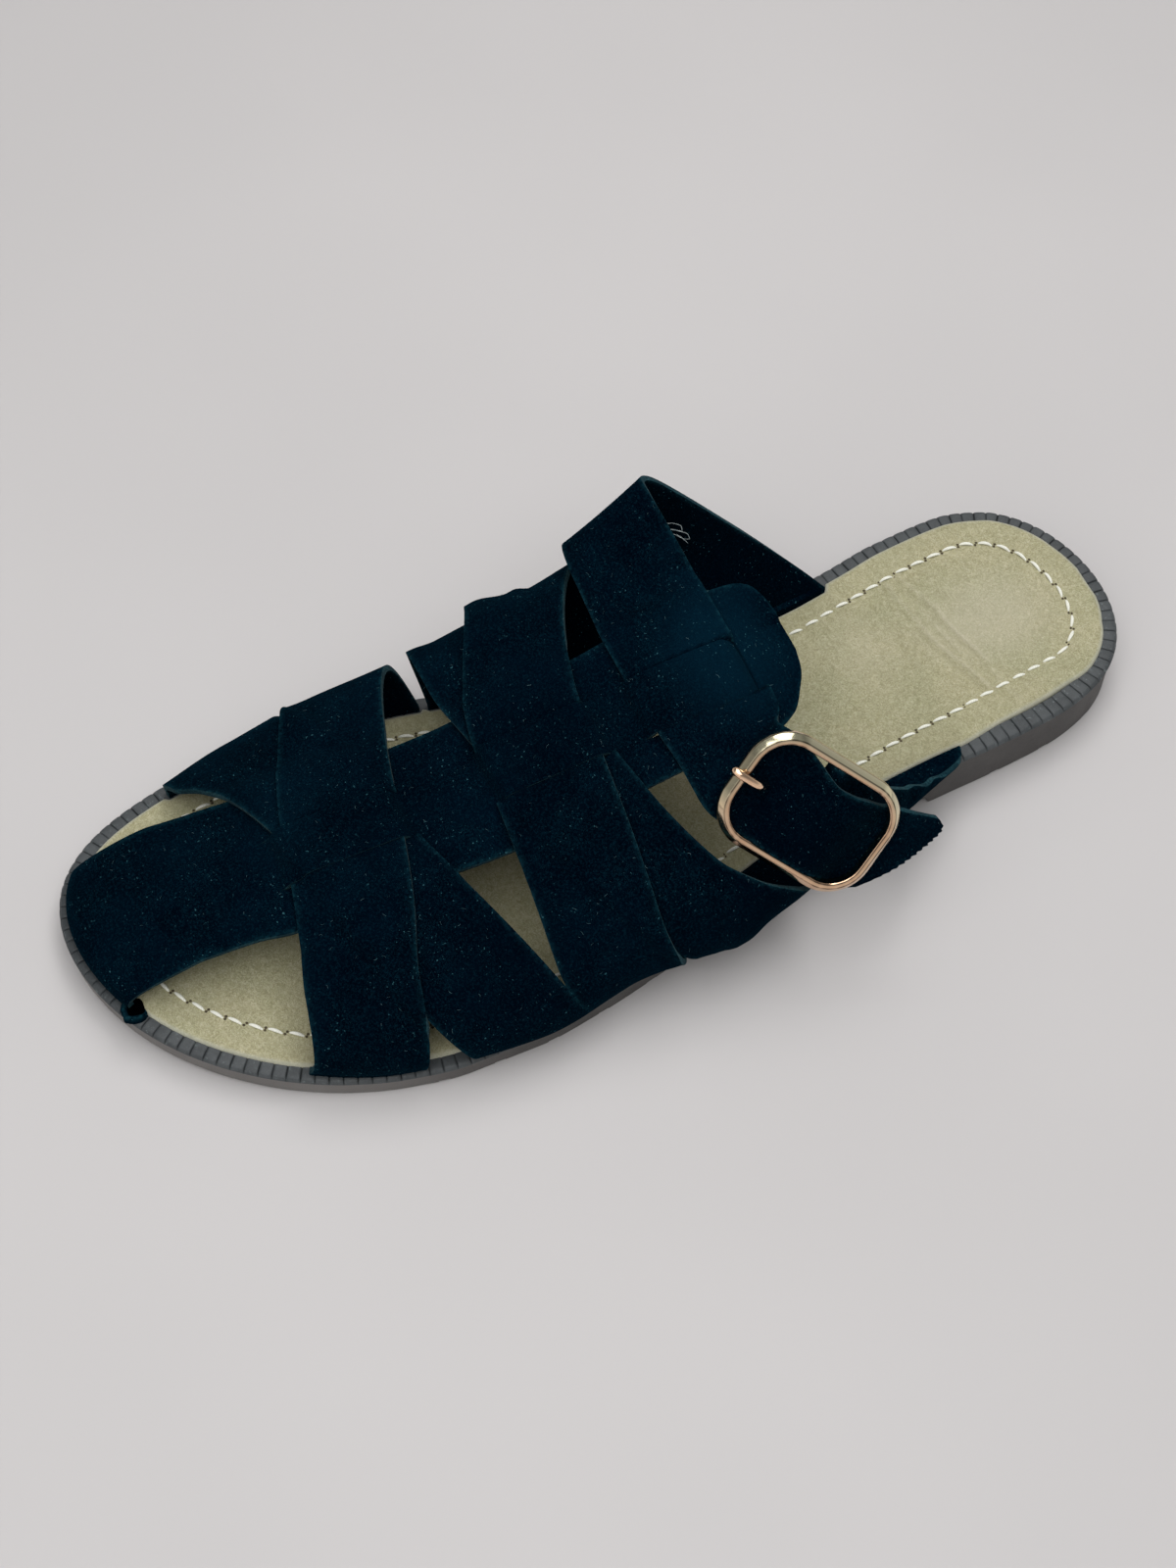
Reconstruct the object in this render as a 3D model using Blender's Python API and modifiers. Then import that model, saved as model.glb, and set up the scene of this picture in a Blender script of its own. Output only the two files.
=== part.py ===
"""Woven suede mule, left shoe: rubber sole, welt, footbed, strap upper and buckle.

Lengths are in millimetres and are scaled to metres as each mesh is made. Along the
shoe, s runs from the heel end to the toe. The lateral side is +X and the toe is -Y.
The shoe stands on z = 0.
"""

import math

import bmesh
import bpy
import numpy as np
from mathutils import Matrix, Vector

MM = 0.001
COLLECTION = "woven_mule_left"

# Sole
LENGTH = 260.0
MIDDLE_X = 8.7
HEEL_HEIGHT = 14.3
FOREFOOT_HEIGHT = 6.5
TOE_SPRING = 2.3
BREAST = 62.0
BALL_START = 134.0
WAIST_LIFT = 3.0
STATIONS = 48
WALL_INSET = 0.5
EDGE_ROUND = 0.9
WELT_WIDTH = 3.0
WELT_THICK = 1.2
GAP = 0.3
RECESS_INSET = 3.2
RECESS_DEPTH = 3.7
INSOLE_INSET = 3.8
INSOLE_DEPTH = 3.4
INSOLE_RISE = 0.8
HEEL_DISH = 1.6
BALL_DISH = 0.6
GROOVE_WIDTH = 2.6
GROOVE_DEPTH = 1.0
HEEL_GROOVES = (16.0, 30.0, 44.0)
BALL_GROOVES = (142.0, 155.0, 168.0, 181.0, 194.0)

# Straps
SUEDE = 1.5
LAYER = 1.3
BASE_LAYER = 0.15
BASE_INSET = 4.6
BASE_RISE = 1.2
TUCK = 2.7
BAND_ROWS = 27
BAND_COLUMNS = 5

# Buckle
FRAME_LONG = 38.4
FRAME_WIDE = 28.8
FRAME_CORNER = 9.0
FRAME_FACE = 2.3
FRAME_DEPTH = 2.8
FRAME_CENTRE = (45.8, 104.0, 41.1)
FRAME_ALONG = (0.54, 0.66, -0.52)
FRAME_UP = (0.79, -0.19, 0.58)
BAR_RADIUS = 1.0
BAR_DROP = 1.0
PRONG_RADIUS = 0.9

# Sole edge seen from above: s, medial x, lateral x.
OUTLINE = (
    (0.0, 0.0, 0.0),
    (2.0, -12.3, 11.6),
    (5.0, -19.1, 17.5),
    (10.0, -25.5, 22.9),
    (16.0, -29.8, 26.7),
    (28.0, -32.8, 30.5),
    (46.0, -31.4, 32.6),
    (60.0, -28.6, 33.6),
    (76.0, -26.0, 35.4),
    (92.0, -25.1, 38.2),
    (108.0, -26.1, 41.9),
    (124.0, -28.8, 46.3),
    (140.0, -32.5, 50.6),
    (156.0, -36.4, 54.1),
    (172.0, -39.5, 56.2),
    (188.0, -41.4, 56.2),
    (202.0, -41.5, 54.1),
    (214.0, -40.4, 50.4),
    (226.0, -38.1, 44.6),
    (236.0, -35.1, 37.7),
    (244.0, -31.6, 30.3),
    (250.0, -27.6, 22.9),
    (255.0, -22.4, 14.3),
    (258.0, -17.0, 6.6),
    (260.0, -6.0, -6.0),
)

# Cross-sections of the last. On each side a curve runs from the ridge, by the
# shoulder and the wall, to the footbed's edge.
# s, ridge x, z, medial shoulder x, z, medial wall x, z, lateral shoulder x, z, wall x, z.
LAST = (
    (60, 2, 50.0, -30, 60.0, -40, 26, 40, 50, 56, 22),
    (90, 4, 50.0, -36, 66.0, -47, 44, 46, 52, 64, 24),
    (105, 4, 50.5, -38, 60.0, -50, 51, 46, 53, 72, 17),
    (120, 4, 48.0, -38, 53.0, -48, 43, 44, 51, 79, 13),
    (135, 4, 42.8, -37, 46.0, -46, 38, 42, 47, 72, 14),
    (150, 4, 38.0, -36, 38.5, -45, 31, 42, 42, 64, 17),
    (170, 5, 33.0, -37, 32.0, -44, 24, 44, 36, 66, 13),
    (190, 6, 29.0, -37, 28.0, -44, 19, 44, 33, 62, 13),
    (210, 5, 25.8, -35, 22.5, -42, 12, 40, 29, 54, 14),
    (228, 2, 22.3, -30, 18.5, -36, 11, 32, 24, 44, 13),
    (240, -1, 19.8, -24, 18.5, -31, 12, 22, 21, 34, 12),
    (256, -4, 11.5, -11, 12.0, -15, 11, 2, 12, 6, 11),
)

# Straps that cross the foot. u runs from -1 at the medial edge, by 0 on the ridge,
# to 1 at the lateral edge: u, s of the front edge, s of the rear edge.
FRONT_UNDER = (
    (-1.0, 228.0, 202.0),
    (-0.52, 226.0, 196.0),
    (-0.36, 220.0, 192.0),
    (-0.12, 211.5, 187.0),
    (0.0, 207.5, 183.5),
    (0.5, 196.0, 167.0),
    (0.86, 187.5, 159.5),
    (1.0, 185.5, 157.5),
)
FRONT_OVER = (
    (-1.0, 191.0, 164.0),
    (-0.5, 196.5, 172.0),
    (0.0, 209.5, 183.0),
    (0.15, 212.5, 186.8),
    (0.4, 217.0, 193.3),
    (1.0, 221.0, 198.5),
)
REAR_UNDER = (
    (-1.0, 162.0, 137.0),
    (-0.55, 165.0, 138.0),
    (-0.25, 165.5, 139.0),
    (0.0, 161.5, 138.0),
    (0.2, 157.0, 134.0),
    (0.42, 149.0, 125.3),
    (0.52, 145.0, 118.0),
    (0.66, 140.0, 109.0),
    (0.8, 134.0, 104.0),
    (1.0, 127.0, 101.0),
)
REAR_OVER = (
    (-1.0, 146.0, 108.0),
    (-0.5, 149.5, 124.5),
    (0.0, 163.0, 138.0),
    (0.5, 165.0, 140.5),
    (1.0, 158.0, 133.0),
)

# Lengthwise strap: s, x of the medial edge, medial slit, lateral slit, lateral edge.
VAMP = (
    (91.2, 1.5, 4.5, 8.5, 11.5),
    (92.3, -2.5, 3.5, 10.5, 16.5),
    (94.5, -6.4, 2.5, 13.0, 20.6),
    (98.0, -8.0, 3.0, 17.0, 25.3),
    (104.0, -8.6, 4.0, 19.0, 27.7),
    (130.0, -9.4, 2.3, 17.0, 26.8),
    (165.0, -10.8, 0.0, 14.3, 25.2),
    (182.0, -12.3, -1.0, 12.8, 23.6),
    (214.0, -17.9, -3.1, 10.5, 21.0),
    (222.0, -19.7, -3.6, 9.8, 18.8),
    (235.0, -21.6, -4.5, 8.8, 16.8),
)
# Where the lengthwise strap's middle passes over the others: s where the slits end
# and where the middle is at its full height, from the tab to the toe, and that height.
BRIDGES = (
    (103.0, 107.0, 126.0, 130.0, 2.9),
    (136.0, 141.0, 158.5, 164.0, 3.9),
    (181.8, 186.6, 207.5, 213.5, 3.9),
)
TOE_START = 235.0
TOE_SIDES = (-20.5, 13.2)

# Instep strap, up from the medial base, over the foot to the buckle:
# front x, s, z, rear x, s, z.
INSTEP = (
    (-24.5, 108.0, 22.0, -26.5, 68.0, 21.0),
    (-35.0, 113.0, 32.0, -33.5, 84.0, 38.0),
    (-38.5, 123.0, 43.4, -38.5, 103.0, 58.5),
    (-35.5, 126.5, 48.3, -36.0, 107.0, 62.6),
    (-24.0, 128.0, 49.0, -25.5, 105.5, 58.5),
    (-10.0, 128.5, 47.6, -8.0, 104.0, 54.0),
    (4.0, 128.5, 48.0, 2.5, 103.3, 52.2),
    (16.0, 127.5, 47.2, 15.0, 101.0, 51.4),
    (25.0, 126.0, 45.5, 23.0, 101.2, 50.8),
)
INSTEP_BASE = (102.0, 63.0)
# Its end in the buckle's own axes: along, across and up, of the front edge, then of
# the rear edge.
INSTEP_TAIL = (
    (-19.8, -10.6, -2.7, -14.2, 12.4, -7.2),
    (-13.2, -11.4, -2.5, -12.4, 10.9, -3.0),
    (-7.6, -11.4, 1.3, -6.4, 10.4, 1.3),
    (0.0, -11.5, 2.6, 0.0, 9.4, 2.6),
    (8.0, -11.2, 1.3, 8.5, 9.0, 1.3),
    (13.4, -10.6, -2.6, 14.6, 10.0, -2.7),
    (17.5, -10.4, -2.9, 20.5, 11.2, -3.0),
    (21.0, -9.6, -3.8, 28.0, 13.2, -5.2),
)

# Buckle strap, up from the lateral base: front x, s, z, rear x, s, z.
CARRIER = (
    (36.6, 76.5, 15.8, 31.5, 57.2, 16.6),
    (39.8, 78.5, 18.2, 36.6, 61.5, 18.2),
    (42.0, 81.5, 21.5, 39.6, 67.5, 20.8),
    (45.5, 89.0, 26.0, 41.5, 75.5, 26.5),
)
CARRIER_BASE = (76.0, 56.0)
# Its loop round the centre bar in the buckle's own axes: along, up, half width.
CARRIER_LOOP = (
    (9.0, -4.2, 11.0),
    (4.0, -3.6, 10.6),
    (1.0, -2.95, 10.4),
    (-0.9, -2.65, 10.4),
    (-1.85, -1.65, 10.4),
    (-1.85, -0.35, 10.4),
    (-0.9, 0.65, 10.4),
    (0.6, 0.85, 10.4),
    (1.9, -0.05, 10.4),
    (3.6, -1.35, 10.4),
    (6.0, -1.9, 10.4),
    (10.0, -2.3, 10.4),
)
CARRIER_THICK = 1.2
LOOP_SLOT = (9.6, 3.4)

# Prong in the buckle's own axes: along, up. It goes round the bar, comes up through
# the strap and rests on the frame's near side.
PRONG = (
    (1.9, 0.2),
    (2.2, -1.2),
    (1.6, -2.6),
    (0.1, -3.25),
    (-1.4, -2.8),
    (-3.2, -1.7),
    (-5.5, -1.0),
    (-8.0, -0.5),
    (-10.5, 0.5),
    (-12.6, 1.6),
    (-14.6, 2.3),
    (-16.6, 2.65),
    (-19.8, 2.7),
)


def ease(t):
    """Rise from 0 to 1 with level ends."""
    t = np.clip(t, 0.0, 1.0)
    return t * t * (3.0 - 2.0 * t)


def between(keys, values, at):
    """Smooth value through a table's column, with no overshoot."""
    keys = np.asarray(keys, float)
    values = np.asarray(values, float)
    steps = np.diff(keys)
    slopes = np.diff(values) / steps
    tangents = np.zeros(len(keys))
    tangents[0] = slopes[0]
    tangents[-1] = slopes[-1]
    for i in range(1, len(keys) - 1):
        if slopes[i - 1] * slopes[i] > 0:
            tangents[i] = 2.0 / (1.0 / slopes[i - 1] + 1.0 / slopes[i])
    at = np.clip(at, keys[0], keys[-1])
    i = np.clip(np.searchsorted(keys, at, side="right") - 1, 0, len(steps) - 1)
    t = (at - keys[i]) / steps[i]
    start = (1 + 2 * t) * (1 - t) ** 2 * values[i]
    end = t * t * (3 - 2 * t) * values[i + 1]
    lean = t * (1 - t) ** 2 * tangents[i] - t * t * (1 - t) * tangents[i + 1]
    return start + end + lean * steps[i]


def column(table, number, at):
    """Smooth value of one column of a table, keyed by its first column."""
    return between([row[0] for row in table], [row[number] for row in table], at)


def route(points, count, tension=0.5):
    """Points at even steps along a smooth curve through the given points."""
    points = np.asarray(points, float)
    lengths = np.linalg.norm(np.diff(points, axis=0), axis=1)
    keys = np.concatenate([[0.0], np.cumsum(lengths**tension)])
    at = np.linspace(0.0, keys[-1], count)
    return np.stack([between(keys, values, at) for values in points.T], axis=1)


# --- sole ---


def turn_of(s, start=0.0, end=LENGTH):
    """Angle that spaces points evenly round the sole's round ends."""
    return np.arccos(np.clip(1 - 2 * (np.asarray(s) - start) / (end - start), -1, 1))


def sole_loop():
    """Closed edge of the sole, from the heel end along the lateral side and back."""
    turn = np.linspace(0, math.pi, 241)
    s = LENGTH * (1 - np.cos(turn)) / 2
    keys = turn_of([row[0] for row in OUTLINE])
    medial = between(keys, [row[1] for row in OUTLINE], turn)
    lateral = between(keys, [row[2] for row in OUTLINE], turn)
    x = np.concatenate([lateral, medial[-2:0:-1]])
    return x, np.concatenate([s, s[-2:0:-1]])


def inset_sides(inset):
    """The sole's edge moved inward: s and x of the lateral side, then of the medial."""
    x, s = sole_loop()
    dx = np.roll(x, -1) - np.roll(x, 1)
    ds = np.roll(s, -1) - np.roll(s, 1)
    size = np.hypot(dx, ds)
    x = x - inset * ds / size
    s = s + inset * dx / size
    heel = int(np.argmin(s))
    x = np.roll(x, -heel)
    s = np.roll(s, -heel)
    toe = int(np.argmax(s))
    lateral = (s[: toe + 1], x[: toe + 1])
    medial = (np.append(s[toe:], s[0])[::-1], np.append(x[toe:], x[0])[::-1])
    return lateral, medial


def edge_x(side, s, inset):
    """X of the sole's edge, moved inward, on the medial (-1) or lateral (1) side."""
    lateral, medial = inset_sides(inset)
    edge_s, x = lateral if side > 0 else medial
    start, end = edge_s[0], edge_s[-1]
    return np.interp(turn_of(s, start, end), turn_of(edge_s, start, end), x)


def sole_top(s):
    """Height of the sole's upper edge."""
    fall = (FOREFOOT_HEIGHT - HEEL_HEIGHT) * ease((s - 60.0) / 105.0)
    return HEEL_HEIGHT + fall + TOE_SPRING * np.clip((s - 195.0) / 65.0, 0, None) ** 2


def sole_bottom(s):
    """Height of the underside: heel, lifted waist, flat forefoot and toe spring."""
    waist = ease((s - BREAST) / 2.0) * ease((BALL_START - s) / 62.0)
    spring = np.clip((s - 202.0) / 58.0, 0, None) ** 2
    return WAIST_LIFT * waist + TOE_SPRING * spring


def station_parts():
    """Places along the sole as parts of its length, close together at the ends."""
    turn = np.linspace(0, math.pi, STATIONS + 1)
    parts = list((1 - np.cos(turn)) / 2)
    parts += [BREAST / LENGTH, (BREAST + 2.0) / LENGTH]
    return np.array(sorted(parts))


def sole_ring(inset, height):
    """Ring of points round the sole at an inset, with height(s), heel end first."""
    lateral = inset_sides(inset)[0]
    start, end = lateral[0][0], lateral[0][-1]
    s = start + (end - start) * station_parts()
    outer = edge_x(1, s, inset)
    inner = edge_x(-1, s, inset)
    ring = list(zip(outer, s)) + list(zip(inner, s))[-2:0:-1]
    return [(x, at, float(height(at))) for x, at in ring]


def at_height(shift):
    """Height function at a distance from the sole's upper edge."""
    return lambda s: sole_top(s) + shift


# --- last and straps ---


def last_point(s, u):
    """Point of the layer-0 strap surface at s, from side to side with u."""
    s, u = np.broadcast_arrays(np.asarray(s, float), np.asarray(u, float))
    row = [column(LAST, i, s) for i in range(1, 11)]
    medial = u < 0
    base_x = np.where(medial, edge_x(-1, s, BASE_INSET), edge_x(1, s, BASE_INSET))
    shoulder_x = np.where(medial, row[2], row[6])
    shoulder_z = np.where(medial, row[3], row[7])
    wall_x = np.where(medial, row[4], row[8])
    wall_z = np.where(medial, row[5], row[9])
    t = np.abs(u)
    weights = (1 - t) ** 3, 3 * t * (1 - t) ** 2, 3 * t * t * (1 - t), t**3
    x = weights[0] * row[0] + weights[1] * shoulder_x
    x += weights[2] * wall_x + weights[3] * base_x
    z = weights[0] * row[1] + weights[1] * shoulder_z
    z += weights[2] * wall_z + weights[3] * (sole_top(s) + BASE_RISE)
    return np.stack([x, s, z], axis=-1)


def last_normal(s, u):
    """Outward direction of the last's surface, smoothed over 2 mm of length."""
    across = last_point(s, np.minimum(u + 0.01, 1)) - last_point(s, np.maximum(u - 0.01, -1))
    forward = last_point(s + 1.0, u) - last_point(s - 1.0, u)
    normal = np.cross(across, forward)
    return normal / np.linalg.norm(normal, axis=-1, keepdims=True)


def strap_lift(layer, u):
    """Distance of a strap's middle from layer 0: full on top, small at the base."""
    blend = ease((1.0 - np.abs(u)) / 0.35)
    return layer * (BASE_LAYER + (LAYER - BASE_LAYER) * blend)


def strap_grid(table, layer, rows=BAND_ROWS, columns=BAND_COLUMNS, widen=0.0, tuck=TUCK):
    """Rows of points of a crossing strap, with its tucked ends first and last."""
    grid = []
    for u in np.linspace(-1, 1, rows):
        front = column(table, 1, u) + widen
        rear = column(table, 2, u) - widen
        s = np.linspace(front, rear, columns)
        at = np.full(columns, u)
        lift = strap_lift(layer, u)
        grid.append(last_point(s, at) + last_normal(s, at) * lift)
    return [tucked_row(grid[0], tuck)] + grid + [tucked_row(grid[-1], tuck)]


def vamp_lines(s):
    """X of the lengthwise strap's columns: margin, middle and margin."""
    edges = [float(column(VAMP, i, s)) for i in range(1, 5)]
    left = np.linspace(edges[0], edges[1], 4)
    middle = np.linspace(edges[1], edges[2], 5)
    right = np.linspace(edges[2], edges[3], 4)
    return left, middle, right


def bridge(s):
    """Height of the middle strip, and how far its slits stand open, 0 to 1."""
    for start, full, level, end, height in BRIDGES:
        if start < s < end:
            lift = float(ease((s - start) / (full - start)) * ease((end - s) / (end - level)))
            opening = float(ease((s - start) / 3.0) * ease((end - s) / 3.0))
            return height * lift, opening
    return 0.0, 0.0


def on_last(x, s, lift):
    """Points of the upper surface of the last at the given x."""
    u = np.linspace(-0.85, 0.85, 171)
    section = last_point(np.full(len(u), s), u)
    at = np.interp(x, section[:, 0], u)
    points = last_point(np.full(len(at), s), at)
    return points + last_normal(np.full(len(at), s), at) * lift


def vamp_rows():
    """S of the lengthwise strap's rows, from the tab to the toe."""
    marks = {row[0] for row in VAMP}
    for start, full, level, end, _ in BRIDGES:
        marks |= {start, full, level, end, start * 0.55 + full * 0.45, level * 0.45 + end * 0.55}
        marks |= {(full + level) / 2}
    marks |= {116.0, 172.0, 177.0, 229.0, 133.0}
    return sorted(marks)


def toe_edge(x):
    """Points of the footbed's edge round the toe at the given x."""
    lateral, medial = inset_sides(BASE_INSET)
    s = np.concatenate([medial[0], lateral[0][::-1]])
    side = np.concatenate([medial[1], lateral[1][::-1]])
    front = s > 225.0
    edge_s = np.interp(x, side[front], s[front])
    return np.stack([x, edge_s, sole_top(edge_s) + BASE_RISE], axis=-1)


def toe_rows(lines):
    """Rows of the lengthwise strap from TOE_START down to the welt."""
    across = (lines - lines[0]) / (lines[-1] - lines[0])
    start = on_last(lines, TOE_START, 0.0)
    ahead = on_last(lines, TOE_START + 2.0, 0.0) - start
    end = toe_edge(TOE_SIDES[0] + (TOE_SIDES[1] - TOE_SIDES[0]) * across)
    reach = (end[:, 1] - start[:, 1])[:, None]
    lean = start + ahead / 2.0 * 0.42 * reach
    rise = end + np.array([0.0, 0.6, 1.0]) * 4.6
    rows = []
    for t in (0.18, 0.36, 0.54, 0.7, 0.85, 1.0):
        rows.append(
            (1 - t) ** 3 * start
            + 3 * t * (1 - t) ** 2 * lean
            + 3 * t * t * (1 - t) * rise
            + t**3 * end
        )
    return rows + [tucked_row(rows[-1], TUCK)]


def buckle_axes():
    """Directions of the buckle in the shoe: along the strap, across it and up."""
    along = Vector((FRAME_ALONG[0], FRAME_ALONG[1], FRAME_ALONG[2])).normalized()
    up = Vector(FRAME_UP)
    up = (up - along * up.dot(along)).normalized()
    return along, up.cross(along), up


def from_buckle(along, across, up):
    """Point given in the buckle's axes, as x, s, z of the shoe."""
    axes = buckle_axes()
    move = axes[0] * along + axes[1] * across + axes[2] * up
    centre = FRAME_CENTRE
    return (centre[0] + move.x, centre[1] - move.y, centre[2] + move.z)


def fold_grid(front, rear, count, columns):
    """Rows of points between two edge curves."""
    t = np.linspace(0, 1, columns)[:, None]
    return [a + (b - a) * t for a, b in zip(route(front, count), route(rear, count))]


def base_points(side, span, count):
    """Points at the footbed's edge over a span of s, front first."""
    s = np.linspace(span[0], span[1], count)
    return np.stack([edge_x(side, s, BASE_INSET), s, sole_top(s) + BASE_RISE], axis=-1)


def tucked_row(row, depth):
    """A strap's end row, straight down between the footbed and the welt."""
    end = row.copy()
    end[:, 2] = sole_top(end[:, 1]) - depth
    return end


def instep_grid(columns=BAND_COLUMNS):
    """Rows of the instep strap from its medial base to the end of its tail."""
    base = base_points(-1, INSTEP_BASE, 2)
    tail = [(from_buckle(*row[:3]), from_buckle(*row[3:])) for row in INSTEP_TAIL]
    front = [base[0]] + [row[:3] for row in INSTEP] + [pair[0] for pair in tail]
    rear = [base[1]] + [row[3:] for row in INSTEP] + [pair[1] for pair in tail]
    grid = fold_grid(front, rear, 58, columns)
    foot = base_points(-1, INSTEP_BASE, columns)
    grid[0] = foot
    return [tucked_row(foot, TUCK)] + grid


def carrier_grid(columns=3):
    """Rows of the buckle strap from its lateral base round the centre bar."""
    foot = base_points(1, CARRIER_BASE, columns)
    loop = [
        (from_buckle(along, -half, up), from_buckle(along, half, up))
        for along, up, half in CARRIER_LOOP
    ]
    front = [foot[0]] + [row[:3] for row in CARRIER] + [pair[0] for pair in loop]
    rear = [foot[-1]] + [row[3:] for row in CARRIER] + [pair[1] for pair in loop]
    grid = fold_grid(front, rear, 56, columns)
    grid[0] = foot
    return [tucked_row(foot, TUCK)] + grid


# --- meshes ---


def to_world(point):
    """Shoe coordinates to metres, centred on the sole."""
    x, s, z = point
    return Vector(((x - MIDDLE_X) * MM, (LENGTH / 2 - s) * MM, z * MM))


def new_collection(name, hidden=False):
    group = bpy.data.collections.new(name)
    bpy.context.scene.collection.children.link(group)
    group.hide_render = hidden
    return group


def new_object(name, mesh, group):
    obj = bpy.data.objects.new(name, mesh)
    group.objects.link(obj)
    return obj


def mesh_from(name, bm):
    mesh = bpy.data.meshes.new(name)
    bm.normal_update()
    bm.to_mesh(mesh)
    bm.free()
    return mesh


def ladder(bm, ring):
    """Close a ring of the sole with faces from side to side."""
    half = len(ring) // 2
    for i in range(half):
        left = (i, i + 1)
        right = ((len(ring) - i - 1) % len(ring), (len(ring) - i) % len(ring))
        corners = [ring[left[0]], ring[left[1]]]
        if right[0] != left[1]:
            corners.append(ring[right[0]])
        if right[1] != left[0]:
            corners.append(ring[right[1]])
        bm.faces.new(corners)


def loft(bm, rings):
    """Faces between rings of the sole. It returns the rings' vertices."""
    loops = [[bm.verts.new(to_world(p)) for p in ring] for ring in rings]
    for low, high in zip(loops[:-1], loops[1:]):
        join_loops(bm, low, high)
    return loops


def join_loops(bm, low, high):
    for i in range(len(low)):
        j = (i + 1) % len(low)
        bm.faces.new((low[i], low[j], high[j], high[i]))


def ring_solid(name, rings, capped, group):
    """Loft through rings of the sole. It ends in caps, or closes on itself."""
    bm = bmesh.new()
    loops = loft(bm, rings)
    if not capped:
        join_loops(bm, loops[-1], loops[0])
    if capped:
        ladder(bm, loops[0])
        ladder(bm, loops[-1])
    bmesh.ops.recalc_face_normals(bm, faces=bm.faces)
    return new_object(name, mesh_from(name, bm), group)


def sheet_mesh(name, grid):
    """Open surface through rows of points."""
    bm = bmesh.new()
    rows = [[bm.verts.new(to_world(p)) for p in row] for row in grid]
    for first, second in zip(rows[:-1], rows[1:]):
        for i in range(len(first) - 1):
            bm.faces.new((first[i], first[i + 1], second[i + 1], second[i]))
    return mesh_from(name, bm)


def thicken(obj, thickness):
    """Give an open surface its thickness, half to each side."""
    solidify = obj.modifiers.new("Thickness", "SOLIDIFY")
    solidify.thickness = thickness * MM
    solidify.offset = 0.0
    solidify.use_even_offset = True
    solidify.thickness_clamp = 0.0


def boolean(obj, other, operation):
    modifier = obj.modifiers.new(operation.title(), "BOOLEAN")
    modifier.operation = operation
    modifier.object = other
    modifier.solver = "EXACT"
    modifier.use_self = operation == "UNION"
    return modifier


def baked(obj):
    """Replace an object's mesh with its evaluated one."""
    bpy.context.view_layer.update()
    graph = bpy.context.evaluated_depsgraph_get()
    mesh = bpy.data.meshes.new_from_object(obj.evaluated_get(graph))
    obj.modifiers.clear()
    obj.data = mesh
    return obj


def drop_crumbs(obj):
    """Delete the loose slivers that crossing sheets leave, and keep the main body."""
    bm = bmesh.new()
    bm.from_mesh(obj.data)
    left = set(bm.faces)
    islands = []
    while left:
        edge = [left.pop()]
        island = set(edge)
        while edge:
            face = edge.pop()
            near = {other for side in face.edges for other in side.link_faces} & left
            left -= near
            island |= near
            edge.extend(near)
        islands.append(island)
    islands.sort(key=len)
    for island in islands[:-1]:
        bmesh.ops.delete(bm, geom=list(island), context="FACES")
    bm.to_mesh(obj.data)
    bm.free()
    return obj


def helper(obj):
    obj.hide_render = True
    obj.display_type = "WIRE"
    return obj


def material(name, colour, roughness, metallic=0.0):
    made = bpy.data.materials.new(name)
    made.use_nodes = True
    shader = made.node_tree.nodes["Principled BSDF"]
    shader.inputs["Base Color"].default_value = (*colour, 1.0)
    shader.inputs["Roughness"].default_value = roughness
    shader.inputs["Metallic"].default_value = metallic
    return made


def finish(obj, surface, sharp=35.0):
    obj.data.materials.clear()
    obj.data.materials.append(surface)
    obj.data.shade_smooth()
    obj.data.set_sharp_from_angle(angle=math.radians(sharp))
    return obj


# --- pieces ---


def groove_cutter(name, s, group):
    bpy.ops.mesh.primitive_cube_add(size=1.0)
    box = bpy.context.active_object
    box.name = name
    size = (120.0 * MM, GROOVE_WIDTH * MM, 2 * GROOVE_DEPTH * MM)
    box.data.transform(Matrix.Diagonal((*size, 1.0)))
    box.location = to_world((MIDDLE_X, s, 0.0))
    for old in box.users_collection:
        old.objects.unlink(box)
    group.objects.link(box)
    return helper(box)


def make_outsole(parts, helpers):
    """Rubber unit: heel block, waist, forefoot, recess for the footbed, grooves."""
    rings = (
        sole_ring(WALL_INSET + EDGE_ROUND, sole_bottom),
        sole_ring(WALL_INSET, lambda s: sole_bottom(s) + EDGE_ROUND),
        sole_ring(WALL_INSET, at_height(-WELT_THICK - GAP)),
        sole_ring(RECESS_INSET, at_height(-WELT_THICK - GAP)),
        sole_ring(RECESS_INSET, at_height(-RECESS_DEPTH)),
    )
    outsole = ring_solid("outsole", rings, True, parts)
    for number, s in enumerate(HEEL_GROOVES + BALL_GROOVES):
        cutter = groove_cutter(f"groove_{number}", s, helpers)
        boolean(outsole, cutter, "DIFFERENCE")
    return outsole


def make_welt(parts):
    """Flat strip round the top of the sole, outside the footbed."""
    rings = (
        sole_ring(0.0, at_height(-WELT_THICK)),
        sole_ring(0.0, at_height(-0.3)),
        sole_ring(0.3, at_height(0.0)),
        sole_ring(WELT_WIDTH, at_height(0.0)),
        sole_ring(WELT_WIDTH, at_height(-WELT_THICK)),
    )
    return ring_solid("welt", rings, False, parts)


def footbed_height(s, across):
    """Top of the footbed: level at its edge, dished at the heel and under the ball."""
    dish = HEEL_DISH * ease((100.0 - s) / 60.0) * ease(s / 22.0)
    hollow = BALL_DISH * ease((s - 70.0) / 40.0) * ease((170.0 - s) / 40.0)
    bowl = (1 - across**2) ** 1.5
    return float(sole_top(s) + INSOLE_RISE - (dish + hollow) * bowl)


def quad_or_fan(first, second, j):
    """Corners of one face between two rows, of which one may be a single point."""
    if len(first) == 1:
        return first[0], second[j + 1], second[j]
    if len(second) == 1:
        return first[j], first[j + 1], second[0]
    return first[j], first[j + 1], second[j + 1], second[j]


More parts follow.
